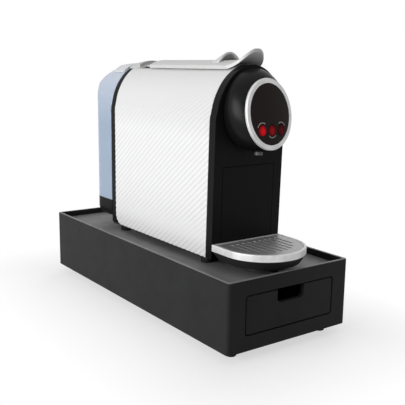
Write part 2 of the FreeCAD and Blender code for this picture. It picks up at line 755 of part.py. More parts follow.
CRADLE_LOW = PANEL_Z + CRADLE_RISE
TANK_LOW = PANEL_Z + TANK_RISE
HOSE_Z = CRADLE_LOW + CRADLE_FLOOR + HOSE_RADIUS + HOSE_FLOOR_GAP
PARTS["side_panel_left"] = side_panel(-1)
PARTS["side_panel_right"] = side_panel(1)
PARTS["top_cover"] = top_cover()
PARTS["front_cover"] = front_cover()
PARTS["rear_frame"] = rear_frame()


# Brew head and the control panel on its tilted ring

TILT = math.radians(RING_TILT)
RING_CENTRE = Vector(0, FACE_Y - RING_REACH, SPRING_Z + RING_RISE)
PANEL_PLACE = Placement(RING_CENTRE, Rotation(X_AXIS, 90 - RING_TILT))
SPOUT_Y = FACE_Y - FLANGE_DEPTH - SPOUT_REACH
HEAD_TURNS = 24
RING_RADIUS = RING_HEIGHT / 2
RING_HOLE = RING_RADIUS - RING_BORDER
RING_RATIO = RING_WIDTH / RING_HEIGHT


def head_section(part, inset):
    """Section of the head, part way from the front cover (0) to the ring (1)."""
    back_y = RING_CENTRE.y + RING_FLANGE * math.cos(TILT)
    back_z = RING_CENTRE.z - RING_FLANGE * math.sin(TILT)
    half = HEAD_WIDTH / 2 - inset
    high = CROWN_Z - HEAD_BASE_INSET
    middle = (high + HEAD_LOW) / 2
    tall = (high - HEAD_LOW) / 2 - inset
    ring = RING_RADIUS - HEAD_RING_INSET - inset
    ring_half = RING_WIDTH / 2 - HEAD_RING_INSET - inset
    swell = HEAD_BULGE * 4 * part * (1 - part)
    points = []
    for index in range(HEAD_TURNS):
        angle = 2 * math.pi * index / HEAD_TURNS
        c = math.cos(angle)
        s = math.sin(angle)
        base_x = half * c
        base_z = middle + tall * s
        ring_x = ring_half * c
        ring_z = back_z + ring * s * math.cos(TILT)
        ring_y = back_y + ring * s * math.sin(TILT)
        x = base_x + (ring_x - base_x) * part + swell * c
        z = base_z + (ring_z - base_z) * part + swell * s
        y = cover_y(base_z) + (ring_y - cover_y(base_z)) * part
        points.append(Vector(x, y, z))
    curve = Part.BSplineCurve()
    curve.interpolate(Points=points, PeriodicFlag=True)
    return Part.Wire(curve.toShape())


def head_shell():
    outer = Part.makeLoft([head_section(part, 0) for part in (0, 0.5, 1)], True, False)
    inner = Part.makeLoft([head_section(part, SHELL_WALL) for part in (-0.1, 0.5, 1.1)], True, False)
    shell = outer.cut(inner)
    reach = SPOUT_RADIUS + SIDE_CLEARANCE
    return shell.cut(cylinder(0, SPOUT_Y, HEAD_LOW - OVERRUN, reach, HEAD_DROP + OVERRUN, Z_AXIS))


def oval(shape):
    """A round shape of the panel narrowed to the ring's oval."""
    matrix = FreeCAD.Matrix()
    matrix.scale(RING_RATIO, 1, 1)
    return shape.transformGeometry(matrix)


def ring_bezel():
    ring = tube(0, 0, -RING_FLANGE, RING_RADIUS, RING_HOLE, RING_FLANGE, Z_AXIS)
    front = [e for e in ring.Edges if e.BoundBox.ZMin > -0.01 and e.BoundBox.XMax > RING_HOLE + 1]
    ring = ring.makeFillet(RING_ROUND, front)
    depth = RING_DEPTH - DISC_THICKNESS - DISC_CLEARANCE
    ledge = tube(0, 0, -RING_DEPTH, RING_HOLE, RING_HOLE - RING_LEDGE, depth, Z_AXIS)
    return oval(ring.fuse(ledge).removeSplitter())


BUTTONS = {
    "button_left": (-BUTTON_SPACING, -BUTTON_DROP),
    "button_middle": (0.0, -BUTTON_DROP),
    "button_right": (BUTTON_SPACING, -BUTTON_DROP),
}


def control_disc():
    edge = RING_HOLE - DISC_CLEARANCE
    top = Vector(0, 0, DISC_DOME)
    profile = Part.Wire([
        Part.makeLine(Vector(0, 0, -DISC_THICKNESS), Vector(edge, 0, -DISC_THICKNESS)),
        Part.makeLine(Vector(edge, 0, -DISC_THICKNESS), Vector(edge, 0, 0)),
        Part.Arc(Vector(edge, 0, 0), Vector(edge / 2, 0, DISC_DOME * 3 / 4), top).toShape(),
        Part.makeLine(top, Vector(0, 0, -DISC_THICKNESS)),
    ])
    disc = oval(Part.Face(profile).revolve(Vector(0, 0, 0), Z_AXIS, 360))
    reach = BUTTON_RADIUS + BUTTON_CLEARANCE
    hole = oval(cylinder(0, 0, -RING_DEPTH, reach, 2 * RING_DEPTH, Z_AXIS))
    for x, y in BUTTONS.values():
        disc = disc.cut(hole.translated(Vector(x, y, 0)))
    return disc


def button(x, y):
    under = -DISC_THICKNESS - BUTTON_CLEARANCE
    cap = cylinder(0, 0, under, BUTTON_RADIUS, BUTTON_PROUD - under, Z_AXIS)
    top = [e for e in cap.Edges if e.BoundBox.ZMin > BUTTON_PROUD - 0.01]
    cap = cap.makeFillet(BUTTON_ROUND, top)
    flange = cylinder(0, 0, under - BUTTON_FLANGE_THICKNESS, BUTTON_RADIUS + BUTTON_FLANGE,
                      BUTTON_FLANGE_THICKNESS, Z_AXIS)
    return oval(cap.fuse(flange).removeSplitter()).translated(Vector(x, y, 0))


def button_board():
    reach = RING_HOLE + BOARD_OVERLAP
    return cylinder(0, 0, -RING_DEPTH - BOARD_THICKNESS, reach, BOARD_THICKNESS, Z_AXIS)


def button_switches():
    switches = []
    stem = -DISC_THICKNESS - BUTTON_CLEARANCE - BUTTON_FLANGE_THICKNESS - BUTTON_TRAVEL - BUTTON_CLEARANCE
    half = SWITCH_SIDE / 2
    middle = (stem - RING_DEPTH) / 2
    for x, y in BUTTONS.values():
        body = box(x - half, x + half, y - half, y + half, -RING_DEPTH, middle)
        plunger = cylinder(x, y, middle, SWITCH_PLUNGER, stem - middle, Z_AXIS)
        switches.append(body.fuse(plunger))
    return Part.makeCompound(switches)


def spout():
    nozzle = tube(0, SPOUT_Y, PIPE_END - SPOUT_LENGTH, SPOUT_RADIUS, SPOUT_BORE, SPOUT_LENGTH, Z_AXIS)
    flange = tube(0, SPOUT_Y, PIPE_END - SPOUT_FLANGE, SPOUT_RADIUS + SPOUT_FLANGE, SPOUT_BORE,
                  SPOUT_FLANGE, Z_AXIS)
    return nozzle.fuse(flange).removeSplitter()


PIPE_END = HEAD_LOW + SHELL_WALL + SPOUT_SEAT
PLATE_BACK = CAGE_FRONT - SIDE_CLEARANCE
PLATE_FRONT = PLATE_BACK - PLATE_THICKNESS


def outlet_pipe():
    points = [Vector(0, PLATE_FRONT, PIPE_Z), Vector(0, SPOUT_Y, PIPE_Z), Vector(0, SPOUT_Y, PIPE_END)]
    return pipe(points, PIPE_RADIUS, SPOUT_BORE, PIPE_RADIUS + 1)


def on_panel(shape):
    placed = shape.copy()
    placed.Placement = PANEL_PLACE.multiply(placed.Placement)
    return placed


PARTS["head_shell"] = head_shell()
PARTS["ring_bezel"] = on_panel(ring_bezel())
PARTS["control_disc"] = on_panel(control_disc())
for name, place in BUTTONS.items():
    PARTS[name] = on_panel(button(*place))
PARTS["button_board"] = on_panel(oval(button_board()))
PARTS["button_switches"] = on_panel(button_switches())
PARTS["spout"] = spout()
PARTS["outlet_pipe"] = outlet_pipe()


# Lever, toggle links and the sliding brew cage

LEVER_HALF = LEVER_WIDTH / 2
LEVER_OUTER = -LEVER_GAP - LEVER_THICKNESS
TONGUE_Y = face_y(CROWN_Z) + TONGUE_SETBACK
TONGUE_ROUND = 0.95


def lever_section(y, half, lift):
    """An arched slice across the lever."""
    return arch_slice(y, half, LEVER_OUTER, -LEVER_GAP, lift)


def tongue_section(part):
    """Section of the curling tongue, part way from the plate (0) to the tip (1)."""
    reach = TONGUE_LENGTH * part
    lift = TONGUE_CURL - math.sqrt(TONGUE_CURL ** 2 - reach ** 2)
    half = (LEVER_HALF - TONGUE_TAPER * part) * math.sqrt(1 - TONGUE_ROUND * part ** 6)
    return lever_section(TONGUE_Y - reach, half, lift)


def lever():
    joint = tongue_section(0)
    plate = Part.makeLoft([lever_section(LEVER_REAR, LEVER_HALF, 0), joint], True, True)
    parts = (0.2, 0.4, 0.6, 0.75, 0.88, 0.96, 1.0)
    tongue = Part.makeLoft([joint] + [tongue_section(part) for part in parts], True, False)
    body = plate.fuse(tongue)
    for sx in (-1, 1):
        near = min(sx * WEB_INNER, sx * WEB_OUTER)
        far = near + WEB_THICKNESS
        roof = arch_z(WEB_OUTER, -LEVER_GAP) + LEVER_THICKNESS / 2
        corners = [
            (CRANK.y - EYE_RADIUS, CRANK.z, 0),
            (CRANK.y, CRANK.z - EYE_RADIUS, 0),
            (PIVOT.y, PIVOT.z - EYE_RADIUS, 0),
            (LEVER_REAR - 1, roof, 0),
            (CRANK.y - EYE_RADIUS, roof, 0),
        ]
        body = body.fuse(side_prism(corners, near, far))
        for eye in (PIVOT, CRANK):
            body = body.fuse(cylinder(near, eye.y, eye.z, EYE_RADIUS, WEB_THICKNESS, X_AXIS))
    for eye in (PIVOT, CRANK):
        bore = PIN_RADIUS + PIN_CLEARANCE
        body = body.cut(cylinder(-LINK_OUTER, eye.y, eye.z, bore, 2 * LINK_OUTER, X_AXIS))
    return body.removeSplitter()


def hood_section(y, half, floor, edge, lift):
    """Section of the hood, given by its heights over the lever's top."""
    steps = 8
    low = arch_curve(-half, half, y, LEVER_OUTER, floor, steps)
    points = []
    for index in range(steps + 1):
        x = -half + 2 * half * index / steps
        points.append(Vector(x, y, arch_z(x, LEVER_OUTER) + edge + lift * (1 - (x / half) ** 2)))
    roof = Part.BSplineCurve()
    roof.interpolate(points)
    side = arch_z(half, LEVER_OUTER)
    right = Part.makeLine(Vector(half, y, side + floor), Vector(half, y, side + edge))
    left = Part.makeLine(Vector(-half, y, side + edge), Vector(-half, y, side + floor))
    return Part.Wire([low, right, roof.toShape(), left])


def lever_hood():
    lip = TONGUE_Y + HOOD_SETBACK
    half = HOOD_WIDTH / 2
    sections = []
    hollows = []
    for part in (0.0, 0.3, 0.65, 1.0):
        y = lip + HOOD_LENGTH * (1 - part)
        lift = HOOD_HEIGHT * math.sin(part * math.pi / 2)
        sections.append(hood_section(y, half, 0, HOOD_EDGE, lift))
        hollows.append(hood_section(y - HOOD_WALL, half - HOOD_WALL, -2 * HOOD_WALL, HOOD_EDGE - HOOD_WALL, lift))
    solid = Part.makeLoft(sections, True, False)
    return solid.cut(Part.makeLoft(hollows, True, False))


SWING = math.radians(LEVER_SWING)


def swung(point, turn):
    """A point of the lever after it is raised by an angle."""
    arm = point - PIVOT
    y = arm.y * math.cos(turn) + arm.z * math.sin(turn)
    z = -arm.y * math.sin(turn) + arm.z * math.cos(turn)
    return PIVOT + Vector(0, y, z)


CRANK_OPEN = swung(CRANK, SWING)
TRUNNION_Z = CAGE_Z + TRUNNION_RISE
CRANK_SHIFT = CAGE_STROKE - (CRANK_OPEN.y - CRANK.y)
CRANK_LEVER = (CRANK_OPEN.z - TRUNNION_Z) ** 2 - (CRANK.z - TRUNNION_Z) ** 2
LINK_RUN = (CRANK_LEVER + CRANK_SHIFT ** 2) / (2 * CRANK_SHIFT)
TRUNNION = Vector(0, CRANK.y - LINK_RUN, TRUNNION_Z)
TRUNNION_OPEN = TRUNNION + Vector(0, CAGE_STROKE, 0)
LINK_REST = math.degrees(math.atan2(CRANK.z - TRUNNION.z, CRANK.y - TRUNNION.y))
LINK_OPEN = math.degrees(math.atan2(CRANK_OPEN.z - TRUNNION_OPEN.z, CRANK_OPEN.y - TRUNNION_OPEN.y))


def toggle_links():
    along = TRUNNION - CRANK
    across = Vector(0, -along.z, along.y)
    across.normalize()
    links = []
    for sx in (-1, 1):
        near = min(sx * LINK_INNER, sx * LINK_OUTER)
        ends = [CRANK + across * EYE_RADIUS, CRANK - across * EYE_RADIUS,
                TRUNNION - across * EYE_RADIUS, TRUNNION + across * EYE_RADIUS]
        bar = side_prism([(p.y, p.z, 0) for p in ends], near, near + WEB_THICKNESS)
        for eye in (CRANK, TRUNNION):
            bar = bar.fuse(cylinder(near, eye.y, eye.z, EYE_RADIUS, WEB_THICKNESS, X_AXIS))
        for eye in (CRANK, TRUNNION):
            bore = PIN_RADIUS + PIN_CLEARANCE
            bar = bar.cut(cylinder(near - 1, eye.y, eye.z, bore, WEB_THICKNESS + 2, X_AXIS))
        links.append(bar.removeSplitter())
    return Part.makeCompound(links)


def link_pins():
    length = LINK_OUTER - WEB_INNER
    pins = []
    for sx in (-1, 1):
        near = min(sx * WEB_INNER, sx * LINK_OUTER)
        pins.append(cylinder(near, CRANK.y, CRANK.z, PIN_RADIUS, length, X_AXIS))
    return Part.makeCompound(pins)


CAGE_BACK = CAGE_FRONT + CAGE_CUP
CARRIAGE_HALF = CARRIAGE_WIDTH / 2


def brew_cage():
    cup = cylinder(0, CAGE_FRONT, CAGE_Z, CAGE_RADIUS, CAGE_CUP, Y_AXIS)
    cup = cup.cut(cylinder(0, CAGE_FRONT - 1, CAGE_Z, CAGE_BORE, CAGE_CUP - CAGE_FLOOR + 1, Y_AXIS))
    carriage = box(-CARRIAGE_HALF, CARRIAGE_HALF, CAGE_BACK - 1, TRUNNION.y + EYE_RADIUS,
                   CAGE_Z - CAGE_RADIUS / 2, CAGE_Z + CAGE_RADIUS / 2)
    post = box(-CARRIAGE_HALF, CARRIAGE_HALF, TRUNNION.y - EYE_RADIUS, TRUNNION.y + EYE_RADIUS,
               CAGE_Z, TRUNNION.z + EYE_RADIUS)
    carriage = carriage.fuse(post)
    bore = PIN_RADIUS + PIN_CLEARANCE
    carriage = carriage.cut(cylinder(-HALF_WIDTH, TRUNNION.y, TRUNNION.z, bore, MACHINE_WIDTH, X_AXIS))
    return cup.fuse(carriage).removeSplitter()


def brew_housing():
    half = CHEEK_X
    low = CAGE_Z - CAGE_RADIUS - BUTTON_CLEARANCE - HOUSING_WALL
    front = PLATE_BACK
    rear = front + HOUSING_LENGTH
    body = box(-half, half, front, rear, low, HOUSING_TOP)
    inner = half - HOUSING_WALL
    body = body.cut(box(-inner, inner, front - 1, rear - HOUSING_WALL, low + HOUSING_WALL, HOUSING_TOP + 1))
    body = body.cut(box(-inner, inner, front - 1, CHUTE_REAR, low - 1, low + HOUSING_WALL + 1))
    for sx in (-1, 1):
        near = min(sx * EAR_INNER, sx * (EAR_INNER + EAR_THICKNESS))
        ear = box(near, near + EAR_THICKNESS, PIVOT.y - EYE_RADIUS, rear,
                  HOUSING_TOP - EAR_ROOT, PIVOT.z + EAR_RISE)
        body = body.fuse(ear)
    bore = PIN_RADIUS + PIN_CLEARANCE
    body = body.cut(cylinder(-half, PIVOT.y, PIVOT.z, bore, 2 * half, X_AXIS))
    return body.removeSplitter()


def extraction_plate():
    low = CAGE_Z - CAGE_RADIUS - BUTTON_CLEARANCE
    plate = box(-CHEEK_X, CHEEK_X, PLATE_FRONT, PLATE_BACK, low, HOUSING_TOP)
    return plate.cut(cylinder(0, PLATE_FRONT - 1, PIPE_Z, SPOUT_BORE, PLATE_THICKNESS + 2, Y_AXIS))


def pod_chute():
    outer = CHUTE_HALF + CHUTE_WALL
    low = HOUSING_TOP
    walls = box(-outer, outer, CHUTE_FRONT - CHUTE_WALL, CHUTE_REAR + CHUTE_WALL, low, CROWN_Z)
    walls = walls.cut(box(-CHUTE_HALF, CHUTE_HALF, CHUTE_FRONT, CHUTE_REAR, low - 1, CROWN_Z + 1))
    return walls.common(arch_solid(FACE_Y, REAR_Y, SHELL_WALL + DISC_CLEARANCE, PANEL_Z))


PARTS["lever"] = lever()
PARTS["lever_hood"] = lever_hood()
PARTS["lever_pin"] = cylinder(-WEB_OUTER, PIVOT.y, PIVOT.z, PIN_RADIUS, 2 * WEB_OUTER, X_AXIS)
PARTS["toggle_links"] = toggle_links()
PARTS["link_pins"] = link_pins()
PARTS["brew_cage"] = brew_cage()
PARTS["cage_pin"] = cylinder(-WEB_OUTER, TRUNNION.y, TRUNNION.z, PIN_RADIUS, 2 * WEB_OUTER, X_AXIS)
PARTS["brew_housing"] = brew_housing()
PARTS["extraction_plate"] = extraction_plate()
PARTS["pod_chute"] = pod_chute()


# Drip tray, grille and used-pod bin

TRAY_HALF = TRAY_WIDTH / 2
TRAY_Z = PANEL_Z + TRAY_TOP
TRAY_BACK = cover_y(TRAY_Z) - TRAY_SEAT
TRAY_FRONT = BASE_FRONT + TRAY_FRONT_GAP
BIN_REAR = FACE_Y - FLANGE_DEPTH + BIN_LENGTH
GRILLE_Z = TRAY_Z - GRILLE_DROP - GRILLE_THICKNESS


def tray_wire(inset, z):
    """Plan of the tray: a straight back, short sides and a half round front."""
    half = TRAY_HALF - inset
    centre = TRAY_FRONT + TRAY_HALF
    back = TRAY_BACK - inset
    left = Vector(-half, centre, z)
    right = Vector(half, centre, z)
    front = Vector(0, centre - half, z)
    return Part.Wire([
        Part.makeLine(Vector(-half, back, z), left),
        Part.Arc(left, front, right).toShape(),
        Part.makeLine(right, Vector(half, back, z)),
        Part.makeLine(Vector(half, back, z), Vector(-half, back, z)),
    ])


def tray_solid(inset, z0, z1):
    return Part.Face(tray_wire(inset, z0)).extrude(Vector(0, 0, z1 - z0))


def drip_tray():
    top = TRAY_Z - TRIM_HEIGHT
    tub = Part.makeLoft([tray_wire(TRAY_TAPER, PANEL_Z), tray_wire(0, top)], True, True)
    floor = tray_wire(TRAY_TAPER + TRAY_WALL, PANEL_Z + TRAY_WALL)
    hollow = Part.makeLoft([floor, tray_wire(TRAY_WALL, top + 1)], True, True)
    half = BIN_HALF
    channel = box(-half, half, TRAY_BACK - TRAY_TAPER - TRAY_WALL, BIN_REAR, PANEL_Z, BIN_LOW)
    inner = half - TRAY_WALL
    gutter = box(-inner, inner, TRAY_BACK - TRAY_TAPER - TRAY_WALL, BIN_REAR - TRAY_WALL,
                 PANEL_Z + TRAY_WALL, BIN_LOW + 1)
    channel = channel.common(box(-half, half, -FAR, FAR, PANEL_Z, top))
    return tub.fuse(channel).cut(hollow).cut(gutter).removeSplitter()


def drip_grille():
    inset = TRIM_WIDTH + GRILLE_CLEARANCE
    plate = tray_solid(inset, GRILLE_Z, GRILLE_Z + GRILLE_THICKNESS)
    low = GRILLE_Z - 1
    centre = TRAY_FRONT + TRAY_HALF
    reach = TRAY_HALF - inset - GRILLE_BORDER
    count = int(reach // GRILLE_PITCH)
    for index in range(-count, count + 1):
        x = index * GRILLE_PITCH
        front = centre - math.sqrt(reach ** 2 - x ** 2) + GRILLE_SLOT
        back = TRAY_BACK - inset - GRILLE_BORDER
        half = GRILLE_SLOT / 2
        slot = plan_prism(rectangle(x - half, x + half, front, back, half * 0.98), low, TRAY_Z)
        plate = plate.cut(slot)
    return plate


def tray_rim():
    ring = tray_solid(0, TRAY_Z - TRIM_HEIGHT, TRAY_Z)
    edge = [e for e in ring.Edges if e.BoundBox.ZMin > TRAY_Z - 0.01]
    ring = ring.makeFillet(TRIM_ROUND, edge)
    ring = ring.cut(tray_solid(TRIM_WIDTH, TRAY_Z - TRIM_HEIGHT - 1, TRAY_Z + 1))
    seat = tray_solid(TRAY_WALL, TRAY_Z - TRIM_HEIGHT, GRILLE_Z)
    seat = seat.cut(tray_solid(TRIM_WIDTH + GRILLE_LEDGE, TRAY_Z - TRIM_HEIGHT - 1, TRAY_Z))
    return ring.fuse(seat).removeSplitter()


def pod_bin():
    rear = BIN_REAR
    low = TRAY_Z - TRIM_HEIGHT
    tub = box(-BIN_HALF, BIN_HALF, FACE_Y - OVERRUN, rear, low, BIN_HIGH).common(lean_slab(-FLANGE_DEPTH, FAR))
    inner = BIN_HALF - BIN_WALL
    hollow = box(-inner, inner, FACE_Y - OVERRUN, rear - BIN_WALL, low + BIN_WALL, BIN_HIGH + 1)
    return tub.cut(hollow.common(lean_slab(BIN_WALL - FLANGE_DEPTH, FAR)))


PARTS["drip_tray"] = drip_tray()
PARTS["tray_rim"] = tray_rim()
PARTS["drip_grille"] = drip_grille()
PARTS["pod_bin"] = pod_bin()


# Water tank, its cradle and lid

HATCH_FRONT = TANK_FRONT + HATCH_SETBACK
HATCH_REAR = HATCH_FRONT + HATCH_LENGTH
HATCH_HALF = HATCH_WIDTH / 2
TANK_CROWN = CROWN_Z - TANK_INSET
HINGE_Y = HATCH_REAR + LID_OVERLAP + 2 * KNUCKLE_RADIUS
VALVE_Y = TANK_FRONT + TANK_DEPTH / 2
KNUCKLE_HALF = KNUCKLE_WIDTH / 2


def tank_roof(y, lift):
    """Height at y of a surface that lies lift above the tank's roof, along its middle."""
    past = max(0.0, y - TANK_REAR + TANK_ROUND)
    return TANK_CROWN - TANK_ROUND + math.sqrt((TANK_ROUND + lift) ** 2 - past ** 2)


HINGE = Vector(0, HINGE_Y, tank_roof(HINGE_Y, KNUCKLE_RADIUS + LID_GAP))


def tank_plan(inset):
    half = HALF_WIDTH - TANK_INSET - inset
    front = TANK_FRONT + TANK_CLEARANCE + inset
    corner = TANK_CORNER - inset
    rear = TANK_REAR - inset
    return [(-half, front, 0), (half, front, 0), (half, rear, corner), (-half, rear, corner)]


def tank_solid(inset, low):
    body = arch_solid(TANK_FRONT, TANK_REAR + 1, TANK_INSET + inset, low)
    body = body.common(plan_prism(tank_plan(inset), low, CROWN_Z + 1))
    rear = TANK_REAR - inset
    top = TANK_CROWN - inset
    front = TANK_FRONT - 1
    side = [(front, low, 0), (rear, low, 0), (rear, top, TANK_ROUND - inset), (front, top, 0)]
    return body.common(side_prism(side, -HALF_WIDTH, HALF_WIDTH))


def water_tank():
    hollow = tank_solid(TANK_WALL, TANK_LOW + TANK_WALL)
    body = tank_solid(0, TANK_LOW).cut(hollow)
    body = body.cut(box(-HATCH_HALF, HATCH_HALF, HATCH_FRONT, HATCH_REAR, SPRING_Z, FAR))
    neck = cylinder(0, VALVE_Y, TANK_LOW - VALVE_LENGTH, VALVE_RADIUS, VALVE_LENGTH + 1, Z_AXIS)
    body = body.fuse(neck)
    low = TANK_LOW - VALVE_LENGTH - 1
    body = body.cut(cylinder(0, VALVE_Y, low, VALVE_BORE, VALVE_LENGTH + 2 * TANK_WALL, Z_AXIS))
    for sx in (-1, 1):
        near = KNUCKLE_HALF + LID_GAP
        low = min(sx * near, sx * (near + LID_EAR_THICKNESS))
        front = HINGE.y - KNUCKLE_RADIUS
        rear = HINGE.y + KNUCKLE_RADIUS
        root = box(low, low + LID_EAR_THICKNESS, front, rear, tank_roof(rear, -TANK_WALL), HINGE.z)
        ear = root.fuse(cylinder(low, HINGE.y, HINGE.z, KNUCKLE_RADIUS, LID_EAR_THICKNESS, X_AXIS))
        body = body.fuse(ear.cut(hollow))
    bore = LID_PIN_RADIUS + PIN_CLEARANCE
    body = body.cut(cylinder(-HALF_WIDTH, HINGE.y, HINGE.z, bore, MACHINE_WIDTH, X_AXIS))
    return body.removeSplitter()


def tank_lid():
    outer = HATCH_HALF + LID_OVERLAP
    front = HATCH_FRONT - LID_OVERLAP
    rear = HATCH_REAR + LID_OVERLAP
    plate = tank_solid(-LID_GAP - LID_THICKNESS, TANK_LOW).cut(tank_solid(-LID_GAP, TANK_LOW - 1))
    outline = rectangle(-outer, outer, front, rear, LID_OVERLAP)
    plate = plate.common(plan_prism(outline, SPRING_Z, CROWN_Z + FLANGE_DEPTH))
    knuckle = cylinder(-KNUCKLE_HALF, HINGE.y, HINGE.z, KNUCKLE_RADIUS, KNUCKLE_WIDTH, X_AXIS)
    corners = [
        (HATCH_REAR, tank_roof(HATCH_REAR, LID_GAP + LID_THICKNESS / 2), 0),
        (HINGE.y, HINGE.z - KNUCKLE_RADIUS / 2, 0),
        (HINGE.y, HINGE.z + KNUCKLE_RADIUS / 2, 0),
        (HATCH_REAR, tank_roof(HATCH_REAR, LID_GAP + LID_THICKNESS), 0),
    ]
    arm = side_prism(corners, -KNUCKLE_HALF, KNUCKLE_HALF)
    lid = plate.fuse(knuckle).fuse(arm)
    bore = LID_PIN_RADIUS + PIN_CLEARANCE
    return lid.cut(cylinder(-HALF_WIDTH, HINGE.y, HINGE.z, bore, MACHINE_WIDTH, X_AXIS)).removeSplitter()


def tank_cradle():
    plan = tank_plan(0)
    plan = [(x, max(y, TANK_FRONT) if r else TANK_FRONT, r) for x, y, r in plan]
    body = plan_prism(plan, CRADLE_LOW, TANK_LOW)
    low = [e for e in body.Edges if e.BoundBox.ZMax < CRADLE_LOW + 0.01 and e.BoundBox.YMax > TANK_FRONT + 1]
    body = body.makeFillet(CRADLE_ROUND, low)
    pocket = plan_prism(tank_plan(CRADLE_WALL), CRADLE_LOW + CRADLE_FLOOR, TANK_LOW + 1)
    low_inner = [e for e in pocket.Edges if e.BoundBox.ZMax < CRADLE_LOW + CRADLE_FLOOR + 0.01]
    body = body.cut(pocket.makeFillet(CRADLE_ROUND - CRADLE_WALL, low_inner))
    seat = TANK_LOW - VALVE_LENGTH - VALVE_CLEARANCE
    boss = cylinder(0, VALVE_Y, CRADLE_LOW + 1, VALVE_BOSS, seat + SEAL_HEIGHT + 1 - CRADLE_LOW, Z_AXIS)
    body = body.fuse(boss)
    body = body.cut(cylinder(0, VALVE_Y, seat, VALVE_RADIUS + VALVE_CLEARANCE, VALVE_LENGTH * 2, Z_AXIS))
    body = body.cut(cylinder(0, VALVE_Y, seat, VALVE_BOSS - SEAL_EDGE, SEAL_HEIGHT, Z_AXIS))
    body = body.cut(cylinder(0, VALVE_Y, HOSE_Z - HOSE_BORE, HOSE_BORE, FAR, Z_AXIS))
    body = body.cut(cylinder(0, VALVE_Y, HOSE_Z, HOSE_BORE, FAR, -Y_AXIS))
    start = TANK_FRONT + CRADLE_WALL
    stub = tube(0, start, HOSE_Z, HOSE_RADIUS, HOSE_BORE, VALVE_Y - VALVE_BOSS - start + 1, Y_AXIS)
    body = body.fuse(stub)
    gland = cylinder(GLAND_OFFSET, TANK_REAR - 2 * CRADLE_WALL, GLAND_Z, GLAND_RADIUS, FAR, Y_AXIS)
    return body.cut(gland).removeSplitter()


GLAND_Z = CRADLE_LOW + CRADLE_ROUND + GLAND_RADIUS


def power_gland():
    start = TANK_REAR - 2 * CRADLE_WALL
    sleeve = tube(GLAND_OFFSET, start, GLAND_Z, GLAND_RADIUS, GLAND_BORE, 2 * CRADLE_WALL, Y_AXIS)
    edge = GLAND_RADIUS + GLAND_FLANGE
    rim = tube(GLAND_OFFSET, TANK_REAR, GLAND_Z, edge, GLAND_BORE, 2 * GLAND_FLANGE, Y_AXIS)
    return sleeve.fuse(rim).removeSplitter()


def tank_valve():
    reach = VALVE_BORE - VALVE_CLEARANCE
    stem = cylinder(0, VALVE_Y, TANK_LOW - VALVE_LENGTH, reach, VALVE_LENGTH + TANK_WALL, Z_AXIS)
    cap = cylinder(0, VALVE_Y, TANK_LOW + TANK_WALL, VALVE_RADIUS, TANK_WALL, Z_AXIS)
    return stem.fuse(cap).removeSplitter()


def valve_seal():
    seat = TANK_LOW - VALVE_LENGTH - VALVE_CLEARANCE
    bore = VALVE_RADIUS + VALVE_CLEARANCE
    return tube(0, VALVE_Y, seat, VALVE_BOSS - SEAL_EDGE, bore, SEAL_HEIGHT, Z_AXIS)


LID_PIN_HALF = KNUCKLE_HALF + LID_GAP + LID_EAR_THICKNESS
PARTS["water_tank"] = water_tank()
PARTS["tank_lid"] = tank_lid()
PARTS["lid_pin"] = cylinder(-LID_PIN_HALF, HINGE.y, HINGE.z, LID_PIN_RADIUS, 2 * LID_PIN_HALF, X_AXIS)
PARTS["tank_cradle"] = tank_cradle()
PARTS["tank_valve"] = tank_valve()
PARTS["valve_seal"] = valve_seal()
PARTS["power_gland"] = power_gland()


# Pump, heater, hoses and control board

PUMP_Z = PANEL_Z + PUMP_RISE
PUMP_REAR = CHEEK_REAR - PUMP_REAR_GAP
PUMP_FRONT = PUMP_REAR - PUMP_LENGTH
MOUNT_TOP = PUMP_Z + PUMP_RADIUS + PUMP_MOUNT_COVER
MOUNT_FRONT = (PUMP_FRONT + PUMP_REAR - PUMP_MOUNT_SPACING - PUMP_MOUNT_LENGTH) / 2
HOUSING_LOW = CAGE_Z - CAGE_RADIUS - BUTTON_CLEARANCE - HOUSING_WALL
HEATER_TOP = HOUSING_LOW - HEATER_DROP
HEATER_LOW = HEATER_TOP - HEATER_HEIGHT
HEATER_REAR = CHEEK_REAR - HEATER_REAR_GAP
HEATER_FRONT = HEATER_REAR - HEATER_LENGTH
HEATER_MIDDLE = (HEATER_FRONT + HEATER_REAR) / 2


def pump():
    body = cylinder(0, PUMP_FRONT, PUMP_Z, PUMP_RADIUS, PUMP_LENGTH, Y_AXIS)
    length = PUMP_LENGTH + 2 * PUMP_NIPPLE_LENGTH
    nipples = cylinder(0, PUMP_FRONT - PUMP_NIPPLE_LENGTH, PUMP_Z, PUMP_NIPPLE_RADIUS, length, Y_AXIS)
    return body.fuse(nipples).removeSplitter()


def pump_mounts():
    mounts = []
    for y in (MOUNT_FRONT, MOUNT_FRONT + PUMP_MOUNT_SPACING):
        block = box(-CHEEK_X, CHEEK_X, y, y + PUMP_MOUNT_LENGTH, PANEL_Z, MOUNT_TOP)
        mounts.append(block.cut(cylinder(0, y - 1, PUMP_Z, PUMP_RADIUS, PUMP_MOUNT_LENGTH + 2, Y_AXIS)))
    return Part.makeCompound(mounts)


def thermoblock():
    block = box(-CHEEK_X, CHEEK_X, HEATER_FRONT, HEATER_REAR, HEATER_LOW, HEATER_TOP)
    pitch = HEATER_LENGTH / (HEATER_GROOVES + 1)
    for index in range(1, HEATER_GROOVES + 1):
        y = HEATER_FRONT + pitch * index
        if abs(y - HEATER_MIDDLE) > HEATER_GROOVE + HOSE_RADIUS:
            block = block.cut(box(-FAR, FAR, y - HEATER_GROOVE / 2, y + HEATER_GROOVE / 2,
                                  HEATER_TOP - HEATER_GROOVE, FAR))
    return block


def inlet_hose():
    high = PUMP_REAR + PUMP_NIPPLE_LENGTH
    turn = high + HOSE_BEND + HOSE_RUN
    points = [Vector(0, high, PUMP_Z), Vector(0, turn, PUMP_Z), Vector(0, turn, HOSE_Z),
              Vector(0, TANK_FRONT, HOSE_Z)]
    return pipe(points, HOSE_RADIUS, HOSE_BORE, HOSE_BEND)


